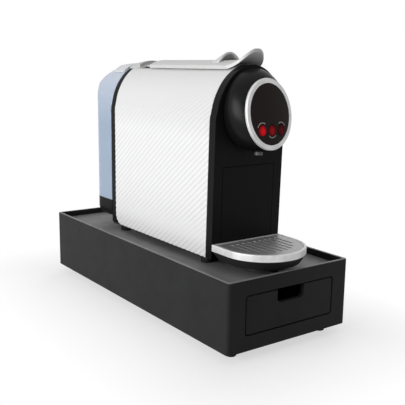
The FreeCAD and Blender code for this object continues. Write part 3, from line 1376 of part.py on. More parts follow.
def pressure_hose():
    low = PUMP_FRONT - PUMP_NIPPLE_LENGTH
    turn = low - HOSE_BEND - HOSE_RUN
    level = (MOUNT_TOP + HEATER_LOW) / 2
    points = [Vector(0, low, PUMP_Z), Vector(0, turn, PUMP_Z), Vector(0, turn, level),
              Vector(0, HEATER_MIDDLE, level), Vector(0, HEATER_MIDDLE, HEATER_LOW)]
    return pipe(points, HOSE_RADIUS, HOSE_BORE, HOSE_BEND)


def flow_meter():
    x = CHEEK_X + CHEEK_THICKNESS
    case = cylinder(x, PUMP_FRONT + PUMP_LENGTH / 2, PUMP_Z, METER_RADIUS, METER_LENGTH, X_AXIS)
    reach = METER_RADIUS + PUMP_NIPPLE_LENGTH / 2
    front = PUMP_FRONT + PUMP_LENGTH / 2 - reach
    nipples = cylinder(x + METER_LENGTH / 2, front, PUMP_Z, HOSE_RADIUS, 2 * reach, Y_AXIS)
    return case.fuse(nipples).removeSplitter()


BOARD_X = CHEEK_X + CHEEK_THICKNESS + POST_LENGTH
BOARD_FRONT = (CHEEK_FRONT + CHEEK_REAR - BOARD_LENGTH) / 2
BOARD_LOW = HOUSING_TOP - BOARD_HEIGHT - BOARD_DROP


def control_board():
    outer = -BOARD_X - BOARD_THICKNESS
    board = box(outer, -BOARD_X, BOARD_FRONT, BOARD_FRONT + BOARD_LENGTH,
                BOARD_LOW, BOARD_LOW + BOARD_HEIGHT)
    for along in (0, 1):
        for up in (0, 1):
            y = BOARD_FRONT + CHIP_INSET + along * CHIP_PITCH
            z = BOARD_LOW + CHIP_INSET + up * CHIP_PITCH
            board = board.fuse(box(outer - CHIP_DEPTH, outer, y, y + CHIP_SIDE, z, z + CHIP_SIDE))
    return board.removeSplitter()


def board_posts():
    posts = []
    for y in (BOARD_FRONT + POST_INSET, BOARD_FRONT + BOARD_LENGTH - POST_INSET):
        for z in (BOARD_LOW + POST_INSET, BOARD_LOW + BOARD_HEIGHT - POST_INSET):
            posts.append(cylinder(-BOARD_X, y, z, POST_RADIUS, POST_LENGTH, X_AXIS))
    return Part.makeCompound(posts)


PARTS["pump"] = pump()
PARTS["pump_mounts"] = pump_mounts()
PARTS["thermoblock"] = thermoblock()
PARTS["inlet_hose"] = inlet_hose()
PARTS["pressure_hose"] = pressure_hose()
PARTS["brew_hose"] = tube(0, HEATER_MIDDLE, HEATER_TOP, HOSE_RADIUS, HOSE_BORE, HEATER_DROP, Z_AXIS)
PARTS["flow_meter"] = flow_meter()
PARTS["control_board"] = control_board()
PARTS["board_posts"] = board_posts()

os.makedirs("parts", exist_ok=True)
for node, shape in PARTS.items():
    shape.exportStep("parts/%s.step" % node)
print("nodes", len(PARTS))
print("link turn on the lever", round(LINK_OPEN - LINK_REST + LEVER_SWING, 4))
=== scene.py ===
"""Looks of the pod coffee machine on its drawer base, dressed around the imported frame.

Sizes are in metres and angles in degrees, in the frame of the CAD model.
"""
import json
import logging
import math
from abc import ABC, abstractmethod
from dataclasses import dataclass
from enum import Enum
from typing import Any, Callable, Dict, Optional, Sequence, Tuple, Union

import bmesh
import bpy
from mathutils import Matrix, Vector


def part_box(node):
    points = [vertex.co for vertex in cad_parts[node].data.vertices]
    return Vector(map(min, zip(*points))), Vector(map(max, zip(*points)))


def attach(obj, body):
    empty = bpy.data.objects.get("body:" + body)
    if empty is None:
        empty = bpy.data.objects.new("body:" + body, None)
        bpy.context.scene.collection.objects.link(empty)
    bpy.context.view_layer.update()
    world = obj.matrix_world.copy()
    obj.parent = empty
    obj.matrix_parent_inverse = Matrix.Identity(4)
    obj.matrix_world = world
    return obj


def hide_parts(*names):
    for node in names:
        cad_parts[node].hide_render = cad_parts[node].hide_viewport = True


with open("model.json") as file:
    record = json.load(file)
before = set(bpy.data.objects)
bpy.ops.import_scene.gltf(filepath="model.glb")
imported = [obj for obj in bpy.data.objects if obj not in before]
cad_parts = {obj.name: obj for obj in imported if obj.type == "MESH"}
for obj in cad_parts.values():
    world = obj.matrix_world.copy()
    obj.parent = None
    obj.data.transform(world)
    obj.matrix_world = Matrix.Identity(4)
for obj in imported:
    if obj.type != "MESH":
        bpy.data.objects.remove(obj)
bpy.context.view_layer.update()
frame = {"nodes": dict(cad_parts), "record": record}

LOG = logging.getLogger("coffee_machine")
Colour = Tuple[float, float, float]
Point = Tuple[float, float, float]
Pair = Tuple[float, float]
Steps = Sequence[Pair]
Socket = Union[str, int]
Value = Union[bpy.types.Node, bpy.types.NodeSocket, float, Sequence[float]]
BODY_OF: Dict[str, str] = {
    node: body for body, nodes in frame["record"]["behaviour"]["bodies"].items() for node in nodes
}
SLOT_OF: Dict[str, str] = {part["node"]: part["material_slot"] for part in frame["record"]["subparts"]}
WHITE: Colour = (1.0, 1.0, 1.0)
UNCHANGED: Point = (1.0, 1.0, 1.0)
NOISE_ROUGHNESS = 0.55
# The numbers of the Mix node's factor and colours among its inputs, and of its colour among its outputs.
MIX_INPUTS = (0, 6, 7)
MIX_RESULT = 2
# The least angle of an edge that is rounded: on most pieces, and on those that are mostly curved.
SHARP_ANGLE = 40.0
CURVED_ANGLE = 60.0
# The least part of a face's normal along an axis for the face to look that way.
FACING = 0.9
# How far apart points are one, and how far faces may turn and still be one, on a copy of a node.
MERGE_WITHIN = 0.000002
FLAT_WITHIN = 0.2


class Axis(Enum):
    """The direction that a finish runs in, as the stretch of its pattern."""

    X = (1.0, 40.0, 40.0)
    Y = (40.0, 1.0, 40.0)
    NONE = (1.0, 1.0, 1.0)


class Detail(Enum):
    """How far a noise breaks up, as its octaves."""

    PLAIN = 2.0
    SOFT = 3.0
    BUSY = 4.0
    FINE = 5.0


def shade(colour: Colour, factor: float) -> Colour:
    """A colour made lighter or darker by a factor."""
    return tuple(min(1.0, part * factor) for part in colour)


def grey(level: float) -> Tuple[float, float, float, float]:
    """An opaque grey of a level from 0 to 1."""
    return (level, level, level, 1.0)


class Sheet:
    """A node tree that is laid out by short calls."""

    def __init__(self, tree: bpy.types.NodeTree) -> None:
        """Starts with an empty tree.

        Args:
            tree: the node tree of a material or of the world.
        """
        self.tree = tree
        self.tree.nodes.clear()

    def add(self, kind: str, inputs: Optional[Dict[Socket, Any]] = None, **settings: Any) -> bpy.types.Node:
        """Adds one node.

        Args:
            kind: the node's type name.
            inputs: values for its sockets, by socket name or number.
            settings: values for its own properties.

        Returns:
            The new node.
        """
        node = self.tree.nodes.new(kind)
        for key, value in settings.items():
            setattr(node, key, value)
        for key, value in (inputs or {}).items():
            node.inputs[key].default_value = value
        return node

    def link(self, source: bpy.types.Node, output: Socket, target: bpy.types.Node, socket: Socket) -> None:
        """Joins an output of one node to an input of another."""
        self.tree.links.new(source.outputs[output], target.inputs[socket])

    def feed(self, value: Value, socket: bpy.types.NodeSocket) -> None:
        """Gives an input its value.

        Args:
            value: a node, whose first output is taken, a socket or a constant.
            socket: the input.
        """
        if isinstance(value, bpy.types.Node):
            value = value.outputs[0]
        if isinstance(value, bpy.types.NodeSocket):
            self.tree.links.new(value, socket)
        else:
            socket.default_value = value

    def math(self, operation: str, first: Value, second: Optional[Value] = None) -> bpy.types.Node:
        """One step of arithmetic.

        Args:
            operation: Blender's name of the operation.
            first: the first value.
            second: the second value, where the operation takes one.

        Returns:
            The math node.
        """
        node = self.add("ShaderNodeMath", operation=operation)
        self.feed(first, node.inputs[0])
        if second is not None:
            self.feed(second, node.inputs[1])
        return node

    def span(self, factor: Value, low: float, high: float, start: float = 0.0,
             end: float = 1.0) -> bpy.types.Node:
        """Spreads a factor over two limits.

        Args:
            factor: the value to spread.
            low: the result at the start.
            high: the result at the end.
            start: the factor that gives the low result.
            end: the factor that gives the high result.

        Returns:
            The map range node.
        """
        limits = {"From Min": start, "From Max": end, "To Min": low, "To Max": high}
        node = self.add("ShaderNodeMapRange", limits)
        self.feed(factor, node.inputs["Value"])
        return node

    def ramp(self, factor: Value, stops: Sequence[Tuple[float, Colour]]) -> bpy.types.Node:
        """A colour ramp over a factor.

        Args:
            factor: what gives the position.
            stops: positions with their colours.

        Returns:
            The ramp node.
        """
        node = self.add("ShaderNodeValToRGB")
        band = node.color_ramp
        while len(band.elements) < len(stops):
            band.elements.new(1.0)
        for element, (position, colour) in zip(band.elements, stops):
            element.position = position
            element.color = (*colour, 1.0)
        self.feed(factor, node.inputs[0])
        return node

    def tones(self, factor: Value, colour: Colour, steps: Steps) -> bpy.types.Node:
        """One colour in tones that follow a factor, by steps of a position and a multiplier."""
        return self.ramp(factor, [(position, shade(colour, tone)) for position, tone in steps])

    def mix(self, factor: Value, first: Value, second: Value, blend: str = "MIX") -> bpy.types.NodeSocket:
        """Mixes two colours.

        Args:
            factor: the share of the second colour.
            first: the first colour.
            second: the second colour.
            blend: Blender's name of the way that they are mixed.

        Returns:
            The socket that gives the mixed colour.
        """
        node = self.add("ShaderNodeMix", data_type="RGBA", blend_type=blend)
        for value, index in zip((factor, first, second), MIX_INPUTS):
            self.feed(value, node.inputs[index])
        return node.outputs[MIX_RESULT]

    def seen(self) -> bpy.types.Node:
        """The rays that see the background: from the camera, a reflection or through glass.

        Returns:
            The node that is 1 for such a ray.
        """
        rays = self.add("ShaderNodeLightPath").outputs
        direct = self.math("MAXIMUM", rays["Is Camera Ray"], rays["Is Glossy Ray"])
        return self.math("MAXIMUM", direct, rays["Is Transmission Ray"])

    def choose(self, factor: Value, first: bpy.types.Node, second: bpy.types.Node,
               out: bpy.types.Node) -> None:
        """Gives the output a mix of two shaders.

        Args:
            factor: the share of the second shader.
            first: the first shader.
            second: the second shader.
            out: the output node.
        """
        node = self.add("ShaderNodeMixShader")
        for index, value in enumerate((factor, first, second)):
            self.feed(value, node.inputs[index])
        self.link(node, 0, out, "Surface")


class Shader(Sheet):
    """A material with a surface shader and patterns on Object coordinates."""

    def __init__(self, name: str) -> None:
        """Starts the material.

        Args:
            name: the material's name.
        """
        self.material = bpy.data.materials.new(name)
        self.material.use_nodes = True
        super().__init__(self.material.node_tree)
        self.out = self.add("ShaderNodeOutputMaterial")
        self.surface = self.add("ShaderNodeBsdfPrincipled")
        self.link(self.surface, "BSDF", self.out, "Surface")
        self.place = self.add("ShaderNodeTexCoord")

    def set(self, **values: float) -> None:
        """Sets constants on the surface shader, with underscores for the spaces in socket names."""
        for key, value in values.items():
            self.surface.inputs[key.replace("_", " ")].default_value = value

    def mapped(self, axis: Axis) -> bpy.types.Node:
        """Object coordinates stretched for a direction.

        Args:
            axis: the direction.

        Returns:
            The mapping node.
        """
        node = self.add("ShaderNodeMapping", {"Scale": axis.value})
        self.link(self.place, "Object", node, "Vector")
        return node

    def axes(self) -> Tuple[bpy.types.NodeSocket, ...]:
        """Object coordinates taken apart.

        Returns:
            The sockets that give X, Y and Z.
        """
        node = self.add("ShaderNodeSeparateXYZ")
        self.link(self.place, "Object", node, "Vector")
        return tuple(node.outputs)

    def noise(self, scale: float, detail: Detail = Detail.SOFT, axis: Axis = Axis.NONE) -> bpy.types.Node:
        """A noise pattern.

        Args:
            scale: cells per metre.
            detail: how far it breaks up.
            axis: the direction that it runs in.

        Returns:
            The noise node.
        """
        inputs = {"Scale": scale, "Detail": detail.value, "Roughness": NOISE_ROUGHNESS}
        node = self.add("ShaderNodeTexNoise", inputs)
        self.link(self.mapped(axis), "Vector", node, "Vector")
        return node

    def paint(self, colour: Value) -> None:
        """Gives the surface its colour."""
        self.feed(colour, self.surface.inputs["Base Color"])

    def roughen(self, pattern: bpy.types.Node, low: float, high: float) -> None:
        """Lets a pattern move the surface's roughness between two limits."""
        self.feed(self.span(pattern, low, high), self.surface.inputs["Roughness"])

    def bump(self, height: bpy.types.Node, depth: float) -> None:
        """Raises the surface by a pattern.

        Args:
            height: the node that gives the height.
            depth: the height of a full step.
        """
        node = self.add("ShaderNodeBump", {"Distance": depth, "Strength": 1.0})
        self.link(height, 0, node, "Height")
        self.link(node, "Normal", self.surface, "Normal")


@dataclass(frozen=True)
class Finish(ABC):
    """A procedural finish with a name and a main colour."""

    name: str
    colour: Colour

    def make(self) -> bpy.types.Material:
        """Builds the material.

        Returns:
            The material.
        """
        sheet = Shader(self.name)
        self.lay(sheet)
        return sheet.material

    @abstractmethod
    def lay(self, sheet: Shader) -> None:
        """Lays the finish on a new material."""


@dataclass(frozen=True)
class Moulded(Finish):
    """Moulded plastic with a fine eroded grain and a slightly uneven tone."""

    roughness: float = 0.45
    grain: float = 1400.0
    depth: float = 0.00006
    gloss: float = 0.5
    cloud_scale: float = 28.0
    clouds: Steps = ((0.3, 0.86), (0.7, 1.12))
    patch_scale: float = 90.0
    patch_spread: float = 0.07

    def lay(self, sheet: Shader) -> None:
        """Lays the finish on a new material.

        Args:
            sheet: the material.
        """
        sheet.paint(sheet.tones(sheet.noise(self.cloud_scale, Detail.BUSY), self.colour, self.clouds))
        patches = sheet.noise(self.patch_scale, Detail.FINE)
        sheet.roughen(patches, self.roughness - self.patch_spread, self.roughness + self.patch_spread)
        sheet.bump(sheet.noise(self.grain, Detail.PLAIN), self.depth)
        sheet.set(Specular_IOR_Level=self.gloss)


@dataclass(frozen=True)
class SlantLined(Finish):
    """White panel with fine grooves that slant up towards the front, with painted shade at its foot and its
    crown.

    The middle is the place of a groove in its wave, and the section the part of the wave that takes painted
    shade.
    Across the fade a groove shrinks to its rest, and the lean sets that higher towards the front. From the
    foot to the crown the painted shade darkens the tone at both ends, where less light falls, and the shine
    sets how dark the painted shade in the grooves looks, faint in a low band where light falls.
    """

    pitch: float
    slope: float
    # The colour's multiplier at the floor of a groove: painted shade in the grooves.
    groove_shade: float
    middle: float = 0.75
    section: Pair = (-0.85, 0.35)
    rest: float = 0.12
    lean: float = 0.12
    fade: Pair = (0.215, 0.265)
    # Random patchiness of the painted shade in the grooves, by its scale and its limits.
    patchiness_scale: float = 45.0
    patchiness: Pair = (0.75, 1.0)
    foot: float = 0.0875
    crown: float = 0.3
    # Painted shade by height: darker at the foot, in the base's shade, and at the crown, turned from the
    # light.
    painted_shade: Steps = (
        (0.0, 0.78), (0.1, 0.88), (0.22, 0.97), (0.34, 1.0), (0.62, 1.0), (0.76, 0.86), (1.0, 0.79),
    )
    shine: Steps = ((0.0, 1.0), (0.05, 0.8), (0.08, 0.25), (0.12, 0.25), (0.2, 1.0), (1.0, 1.0))
    patch_scale: float = 120.0
    roughness: Pair = (0.36, 0.48)
    grain: float = 1400.0
    depth: float = 0.00003
    gloss: float = 0.3

    def kept(self, place: Vector) -> float:
        """The share of a groove's depth that is left at a place, less towards the crown.

        Args:
            place: a point on the panel.

        Returns:
            The share, from the rest to 1.
        """
        start, end = self.fade
        part = (place.z + self.lean * place.y - start) / (end - start)
        return 1.0 - (1.0 - self.rest) * min(1.0, max(0.0, part))

    def lines(self, sheet: Shader, level: bpy.types.Node) -> bpy.types.Node:
        """The painted shade in the grooves.

        Args:
            sheet: the material.
            level: the node that rises from 0 at the foot to 1 at the crown.

        Returns:
            The node that is 1 in a groove at its darkest.
        """
        x, y, z = sheet.axes()
        height = sheet.math("SUBTRACT", z, sheet.math("ABSOLUTE", x))
        along = sheet.math("ADD", height, sheet.math("MULTIPLY", y, self.slope))
        turn = sheet.math("MULTIPLY", along, 2 * math.pi / self.pitch)
        grooves = sheet.span(sheet.math("SINE", turn), 1.0, 0.0, *self.section)
        raised = sheet.math("ADD", z, sheet.math("MULTIPLY", y, self.lean))
        kept = sheet.span(raised, 1.0, self.rest, *self.fade)
        patchiness = sheet.span(sheet.noise(self.patchiness_scale, Detail.PLAIN), *self.patchiness)
        patchy_shade = sheet.math("MULTIPLY", kept, patchiness)
        shine = sheet.tones(level, WHITE, self.shine)
        return sheet.math("MULTIPLY", grooves, sheet.math("MULTIPLY", patchy_shade, shine))

    def lay(self, sheet: Shader) -> None:
        """Lays the finish on a new material.

        Args:
            sheet: the material.
        """
        level = sheet.span(sheet.axes()[2], 0.0, 1.0, self.foot, self.crown)
        # The tone is painted shade, darker towards the foot and the crown.
        tone = sheet.tones(level, self.colour, self.painted_shade)
        # The grooves take painted shade over that tone.
        sheet.paint(sheet.mix(self.lines(sheet, level), tone, grey(self.groove_shade), "MULTIPLY"))
        sheet.roughen(sheet.noise(self.patch_scale, Detail.BUSY), *self.roughness)
        sheet.bump(sheet.noise(self.grain, Detail.PLAIN), self.depth)
        sheet.set(Specular_IOR_Level=self.gloss)


@dataclass(frozen=True)
class Brushed(Finish):
    """Metal or metal-look finish with fine brushing along one direction."""

    roughness: float
    axis: Axis = Axis.Y
    metallic: float = 1.0
    depth: float = 0.00002
    line_scale: float = 90.0
    streaks: Steps = ((0.25, 0.84), (0.75, 1.1))
    smoother: float = 0.06
    rougher: float = 0.08

    def lay(self, sheet: Shader) -> None:
        """Lays the finish on a new material.

        Args:
            sheet: the material.
        """
        lines = sheet.noise(self.line_scale, Detail.SOFT, self.axis)
        sheet.paint(sheet.tones(lines, self.colour, self.streaks))
        sheet.roughen(lines, self.roughness - self.smoother, self.roughness + self.rougher)
        sheet.bump(lines, self.depth)
        sheet.set(Metallic=self.metallic)


@dataclass(frozen=True)
class ClearPlastic(Finish):
    """Tinted see-through plastic with a soft inner haze that pales towards its top."""

    pale: Colour
    clearness: float
    roughness: float = 0.18
    paling: Pair = (0.22, 0.29)
    haze_scale: float = 14.0
    haze: float = 0.08
    patch_scale: float = 70.0
    smoother: float = 0.05
    rougher: float = 0.07
    grain: float = 320.0
    depth: float = 0.00002
    refraction: float = 1.45

    def lay(self, sheet: Shader) -> None:
        """Lays the finish on a new material.

        Args:
            sheet: the material.
        """
        haze = sheet.span(sheet.noise(self.haze_scale), -self.haze, self.haze)
        height = sheet.span(sheet.axes()[2], 0.0, 1.0, *self.paling)
        sheet.paint(sheet.ramp(sheet.math("ADD", height, haze), ((0.0, self.colour), (1.0, self.pale))))
        patches = sheet.noise(self.patch_scale, Detail.BUSY)
        sheet.roughen(patches, self.roughness - self.smoother, self.roughness + self.rougher)
        sheet.bump(sheet.noise(self.grain, Detail.PLAIN), self.depth)
        sheet.set(Transmission_Weight=self.clearness, IOR=self.refraction)


@dataclass(frozen=True)
class LitButton(Finish):
    """Tinted button cap lit from behind, brightest at its middle."""

    node: str
    glow: float
    dimming: Steps = ((0.0, 1.5), (0.3, 1.15), (0.6, 0.6), (0.9, 0.3))
    patch_scale: float = 220.0
    roughness: Pair = (0.28, 0.4)
    gloss: float = 0.04

    def lay(self, sheet: Shader) -> None:
        """Lays the finish on a new material.

        Args:
            sheet: the material.
        """
        low, high = (Vector(corner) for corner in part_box(self.node))
        axes = sheet.axes()
        squares = []
        for index in (0, 2):
            offset = sheet.math("SUBTRACT", axes[index], (low[index] + high[index]) / 2)
            share = sheet.math("DIVIDE", offset, (high[index] - low[index]) / 2)
            squares.append(sheet.math("MULTIPLY", share, share))
        light = sheet.tones(sheet.math("ADD", *squares), self.colour, self.dimming)
        sheet.paint(light)
        sheet.feed(light, sheet.surface.inputs["Emission Color"])
        sheet.roughen(sheet.noise(self.patch_scale), *self.roughness)
        sheet.set(Emission_Strength=self.glow, Specular_IOR_Level=self.gloss)


@dataclass(frozen=True)
class Circuit(Finish):
    """Green board with paler tracks."""

    field_tone: float = 1.3
    track_tone: float = 2.6
    track_scale: float = 120.0
    track_width: float = 0.012
    roughness: float = 0.4

    def lay(self, sheet: Shader) -> None:
        """Lays the finish on a new material.

        Args:
            sheet: the material.
        """
        tracks = sheet.add("ShaderNodeTexBrick", {
            "Color1": (*self.colour, 1.0),
            "Color2": (*shade(self.colour, self.field_tone), 1.0),
            "Mortar": (*shade(self.colour, self.track_tone), 1.0),
            "Scale": self.track_scale,
            "Mortar Size": self.track_width,
        })
        sheet.link(sheet.mapped(Axis.NONE), "Vector", tracks, "Vector")
        sheet.paint(tracks)
        sheet.set(Roughness=self.roughness)


PANEL_LINES = SlantLined("panel_white", (0.87, 0.87, 0.872), pitch=0.00695, slope=0.76, groove_shade=0.83)
FINISHES: Tuple[Finish, ...] = (
    PANEL_LINES,
    # Painted light: the base's top is painted paler than its black sides, for the light that falls on it
    # from above.
    Moulded("base_top_painted_light", (0.2, 0.2, 0.202), roughness=0.5, grain=1200.0, gloss=0.25),
    Moulded("base_black", (0.02, 0.02, 0.0205), roughness=0.5, grain=1600.0, depth=0.00005, gloss=0.08),
    Moulded("foot_rubber", (0.012, 0.012, 0.012), roughness=0.75, grain=900.0, depth=0.0001, gloss=0.2),
    Brushed("screw_steel", (0.5, 0.5, 0.5), roughness=0.3, axis=Axis.NONE),
    Brushed("pin_steel", (0.55, 0.55, 0.56), roughness=0.25, axis=Axis.X),
    Moulded("chassis_steel", (0.02, 0.02, 0.021), roughness=0.5, grain=700.0, gloss=0.3),
    Moulded("body_black", (0.007, 0.007, 0.007), roughness=0.42, grain=1500.0, depth=0.00004, gloss=0.06),
    Moulded("head_black", (0.006, 0.006, 0.006), roughness=0.32, grain=1800.0, depth=0.00002, gloss=0.11),
    Moulded("top_grey", (0.5, 0.5, 0.5), roughness=0.4),
    Brushed("ring_silver", (0.73, 0.73, 0.73), roughness=0.5, axis=Axis.NONE, metallic=0.5),
    Moulded("panel_dark", (0.014, 0.008, 0.008), roughness=0.4, grain=600.0, depth=0.00001, gloss=0.1),
    LitButton("button_red", (0.52, 0.008, 0.014), node="button_left", glow=0.26),
    LitButton("button_dark_red", (0.26, 0.007, 0.01), node="button_middle", glow=0.14),
    LitButton("button_maroon", (0.1, 0.006, 0.01), node="button_right", glow=0.06),
    Circuit("circuit_green", (0.02, 0.1, 0.04)),
    Moulded("switch_black", (0.03, 0.03, 0.03), roughness=0.5),
    Brushed("lever_silver", (0.62, 0.62, 0.615), roughness=0.55, metallic=0.2),
    Moulded("brew_plastic", (0.07, 0.07, 0.07)),
    Moulded("hose_grey", (0.45, 0.45, 0.44), roughness=0.5),
    Brushed("grille_grey", (0.38, 0.38, 0.385), roughness=0.4, metallic=0.6),
    ClearPlastic("tank_clear", (0.42, 0.53, 0.68), pale=(0.66, 0.73, 0.84), clearness=0.3),
    ClearPlastic("lid_clear", (0.7, 0.73, 0.76), pale=(0.76, 0.78, 0.8), clearness=0.2, roughness=0.24),
    Brushed("pump_steel", (0.4, 0.4, 0.4), roughness=0.35, axis=Axis.X),
    Brushed("heater_aluminium", (0.6, 0.6, 0.6), roughness=0.4, axis=Axis.X),
)


def only(*things: bpy.types.Object) -> None:
    """Leaves just these objects selected.

    Args:
        things: the objects, the first of which becomes the active one.
    """
    bpy.ops.object.select_all(action="DESELECT")
    for thing in things:
        thing.select_set(True)
    bpy.context.view_layer.objects.active = things[0]


def edit(thing: bpy.types.Object) -> None:
    """Opens one object in edit mode, where faces are what is selected.

    Args:
        thing: the object.
    """
    only(thing)
    bpy.ops.object.mode_set(mode="EDIT")
    bpy.ops.mesh.select_mode(type="FACE")


def leave() -> None:
    """Goes back from edit mode to object mode."""
    bpy.ops.object.mode_set(mode="OBJECT")


def pick(test: Callable[[bmesh.types.BMFace], bool]) -> None:
    """Selects the faces that pass a test, and only those, on the object in edit mode.

    Args:
        test: says whether a face is taken.
    """
    data = bpy.context.edit_object.data
    mesh = bmesh.from_edit_mesh(data)
    for face in mesh.faces:
        face.select_set(False)
    for face in mesh.faces:
        if test(face):
            face.select_set(True)
    mesh.select_flush_mode()
    bmesh.update_edit_mesh(data)


def extrude(move: Point, size: Point = UNCHANGED) -> None:
    """Extrudes what is selected.

    Args:
        move: how far the new faces go.
        size: what their outline is multiplied by.
    """
    bpy.ops.mesh.extrude_region_move(TRANSFORM_OT_translate={"value": move})
    if size != UNCHANGED:
        bpy.ops.transform.resize(value=size)


def apply_place(thing: bpy.types.Object) -> None:
    """Puts an object's place, turn and size into its mesh."""
    only(thing)
    bpy.ops.object.transform_apply(location=True, rotation=True, scale=True)


def modify(thing: bpy.types.Object, kind: str, **settings: Any) -> None:
    """Changes an object's mesh by a modifier.

    Args:
        thing: the object.
        kind: the modifier's type name.
        settings: values for its properties.
    """
    only(thing)
    modifier = thing.modifiers.new(kind.lower(), kind)
    for key, value in settings.items():
        setattr(modifier, key, value)
    bpy.ops.object.modifier_apply(modifier=modifier.name)


def smooth(thing: bpy.types.Object, angle: float = SHARP_ANGLE) -> None:
    """Smooths an object's shading, with its large faces kept flat.

    Args:
        thing: the object.
        angle: the least angle of an edge that stays sharp.
    """
    only(thing)
    bpy.ops.object.shade_smooth_by_angle(angle=math.radians(angle))
    modify(thing, "WEIGHTED_NORMAL", keep_sharp=True)


def round_edges(thing: bpy.types.Object, width: float, steps: int = 2, angle: float = SHARP_ANGLE) -> None:
    """Rounds an object's sharp edges and smooths its shading.

    Args:
        thing: the object.
        width: the width of the rounding.
        steps: its number of segments.
        angle: the least angle of an edge that is rounded.
    """
    modify(thing, "BEVEL", width=width, segments=steps, limit_method="ANGLE",
           angle_limit=math.radians(angle), use_clamp_overlap=False)
    smooth(thing, angle)


class Wardrobe:
    """Every finish, made into a material once."""

    def __init__(self) -> None:
        """Makes the materials."""
        self.made = {finish.name: finish.make() for finish in FINISHES}

    def put_on(self, thing: bpy.types.Object, *slots: str) -> None:
        """Dresses an object.

        Args:
            thing: the object.
            slots: the slots of its finishes, the main one first.
        """
        thing.data.materials.clear()
        for slot in slots:
            thing.data.materials.append(self.made[slot])


@dataclass
class SubAssembly(ABC):
    """A group of pieces that belong together."""

    wardrobe: Wardrobe

    @abstractmethod
    def build(self) -> None:
        """Builds and dresses the pieces."""

    def dress(self, *nodes: str) -> None:
        """Gives nodes of the frame the finish of their slot.

        Args:
            nodes: the nodes' names.
        """
        for node in nodes:
            self.wardrobe.put_on(frame["nodes"][node], SLOT_OF[node])
            LOG.info("dressed %s in %s", node, SLOT_OF[node])

    def keep(self, piece: bpy.types.Object, body: str, slots: Sequence[str],
             nodes: Sequence[str] = ()) -> None:
        """Hangs a new piece on its body and dresses it.

        Args:
            piece: the finished piece.
            body: the body that it moves with.
            slots: its finishes, the main one first.
            nodes: the nodes of the frame that it stands for.
        """
        self.wardrobe.put_on(piece, *slots)
        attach(piece, body)
        if nodes:
            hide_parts(*nodes)
        LOG.info("built %s on %s", piece.name, body)

    def soften(self, node: str, width: float, steps: int = 2, angle: float = SHARP_ANGLE,
               slot: str = "") -> bpy.types.Object:
        """Stands a copy with rounded edges in the place of a node.

        Args:
            node: the node of the frame.
            width: the width of the rounding.
            steps: its number of segments.
            angle: the least angle of an edge that is rounded.
            slot: its finish, where it isn't the node's own.

        Returns:
            The rounded copy.
        """
        piece = bpy.data.objects.new(f"{node}_rounded", frame["nodes"][node].data.copy())
        bpy.context.scene.collection.objects.link(piece)
        edit(piece)
        bpy.ops.mesh.select_all(action="SELECT")
        bpy.ops.mesh.remove_doubles(threshold=MERGE_WITHIN)
        bpy.ops.mesh.dissolve_limited(angle_limit=math.radians(FLAT_WITHIN))
        leave()
        round_edges(piece, width, steps, angle)
        self.keep(piece, BODY_OF[node], (slot or SLOT_OF[node],), (node,))
        return piece


@dataclass
class BaseCabinet(SubAssembly):
    """The drawer base that the machine stands on."""

    edge: float = 0.0006
    top_depth: float = 0.02
    top_facing: float = 0.7
    screw_x: float = 0.0765
    screw_y: float = 0.12
    screw_low: float = 0.010
    screw_sides: int = 40
    screw_edge: float = 0.00025
    head_radius: float = 0.003
    head_height: float = 0.0016
    shank_radius: float = 0.0015
    shank_length: float = 0.0124
    cross_length: float = 0.0034
    cross_width: float = 0.0008
    cross_depth: float = 0.001

    def screw(self) -> bpy.types.Object:
        """Models one screw with a cross recess in its head.

        Returns:
            The screw, in the middle of the base.
        """
        bpy.ops.object.select_all(action="DESELECT")
        middle = self.screw_low + self.head_height / 2
        bpy.ops.mesh.primitive_cylinder_add(vertices=self.screw_sides, radius=self.head_radius,
                                            depth=self.head_height, location=(0, 0, middle))
        screw = bpy.context.object
        screw.name = "base_screw"
        apply_place(screw)
        edit(screw)
        pick(lambda face: face.normal.z > FACING)
        slim = self.shank_radius / self.head_radius
        extrude((0, 0, 0), (slim, slim, 1.0))
        extrude((0, 0, self.shank_length))
        leave()
        round_edges(screw, self.screw_edge, angle=CURVED_ANGLE)
        for size in ((self.cross_length, self.cross_width), (self.cross_width, self.cross_length)):
            bpy.ops.object.select_all(action="DESELECT")
            bpy.ops.mesh.primitive_cube_add(size=1.0, location=(0, 0, self.screw_low))
            tool = bpy.context.object
            tool.scale = (*size, 2 * self.cross_depth)
            apply_place(tool)
            modify(screw, "BOOLEAN", operation="DIFFERENCE", object=tool)
            bpy.data.objects.remove(tool)
        return screw

    def screws(self) -> None:
        """Sets the four screws under the base."""
        first = self.screw()
        copies = []
        for side in (-1, 1):
            for end in (-1, 1):
                copy = first.copy()
                copy.data = first.data.copy()
                copy.location = (side * self.screw_x, end * self.screw_y, 0)
                bpy.context.scene.collection.objects.link(copy)
                apply_place(copy)
                copies.append(copy)
        bpy.data.objects.remove(first)
        only(*copies)
        bpy.ops.object.join()
        copies[0].name = "base_cross_screws"
        self.keep(copies[0], "machine", ("screw_steel",), ("base_screws",))

    def paint_top_light(self, cabinet: bpy.types.Object) -> None:
        """Paints the top that the machine stands on paler than the black sides, as painted light from
        above.

        Args:
            cabinet: the rounded cabinet.
        """
        cabinet.data.materials.append(self.wardrobe.made["base_top_painted_light"])
        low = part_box("base_cabinet")[1][2] - self.top_depth
        # The upward faces near the top take the paler colour: painted light from above.
        for face in cabinet.data.polygons:
            face.material_index = int(face.normal.z > self.top_facing and face.center.z > low)

    def build(self) -> None:
        """Builds the base."""
        cabinet = self.soften("base_cabinet", self.edge)
        self.paint_top_light(cabinet)
        self.dress("base_bottom", "base_feet", "drawer_runners")
        self.screws()


@dataclass
class Drawer(SubAssembly):
    """The pod drawer in the base."""

    edge: float = 0.0005

    def build(self) -> None:
        """Builds the drawer."""
        self.soften("drawer_box", self.edge)
        self.dress("drawer_front", "drawer_screws")


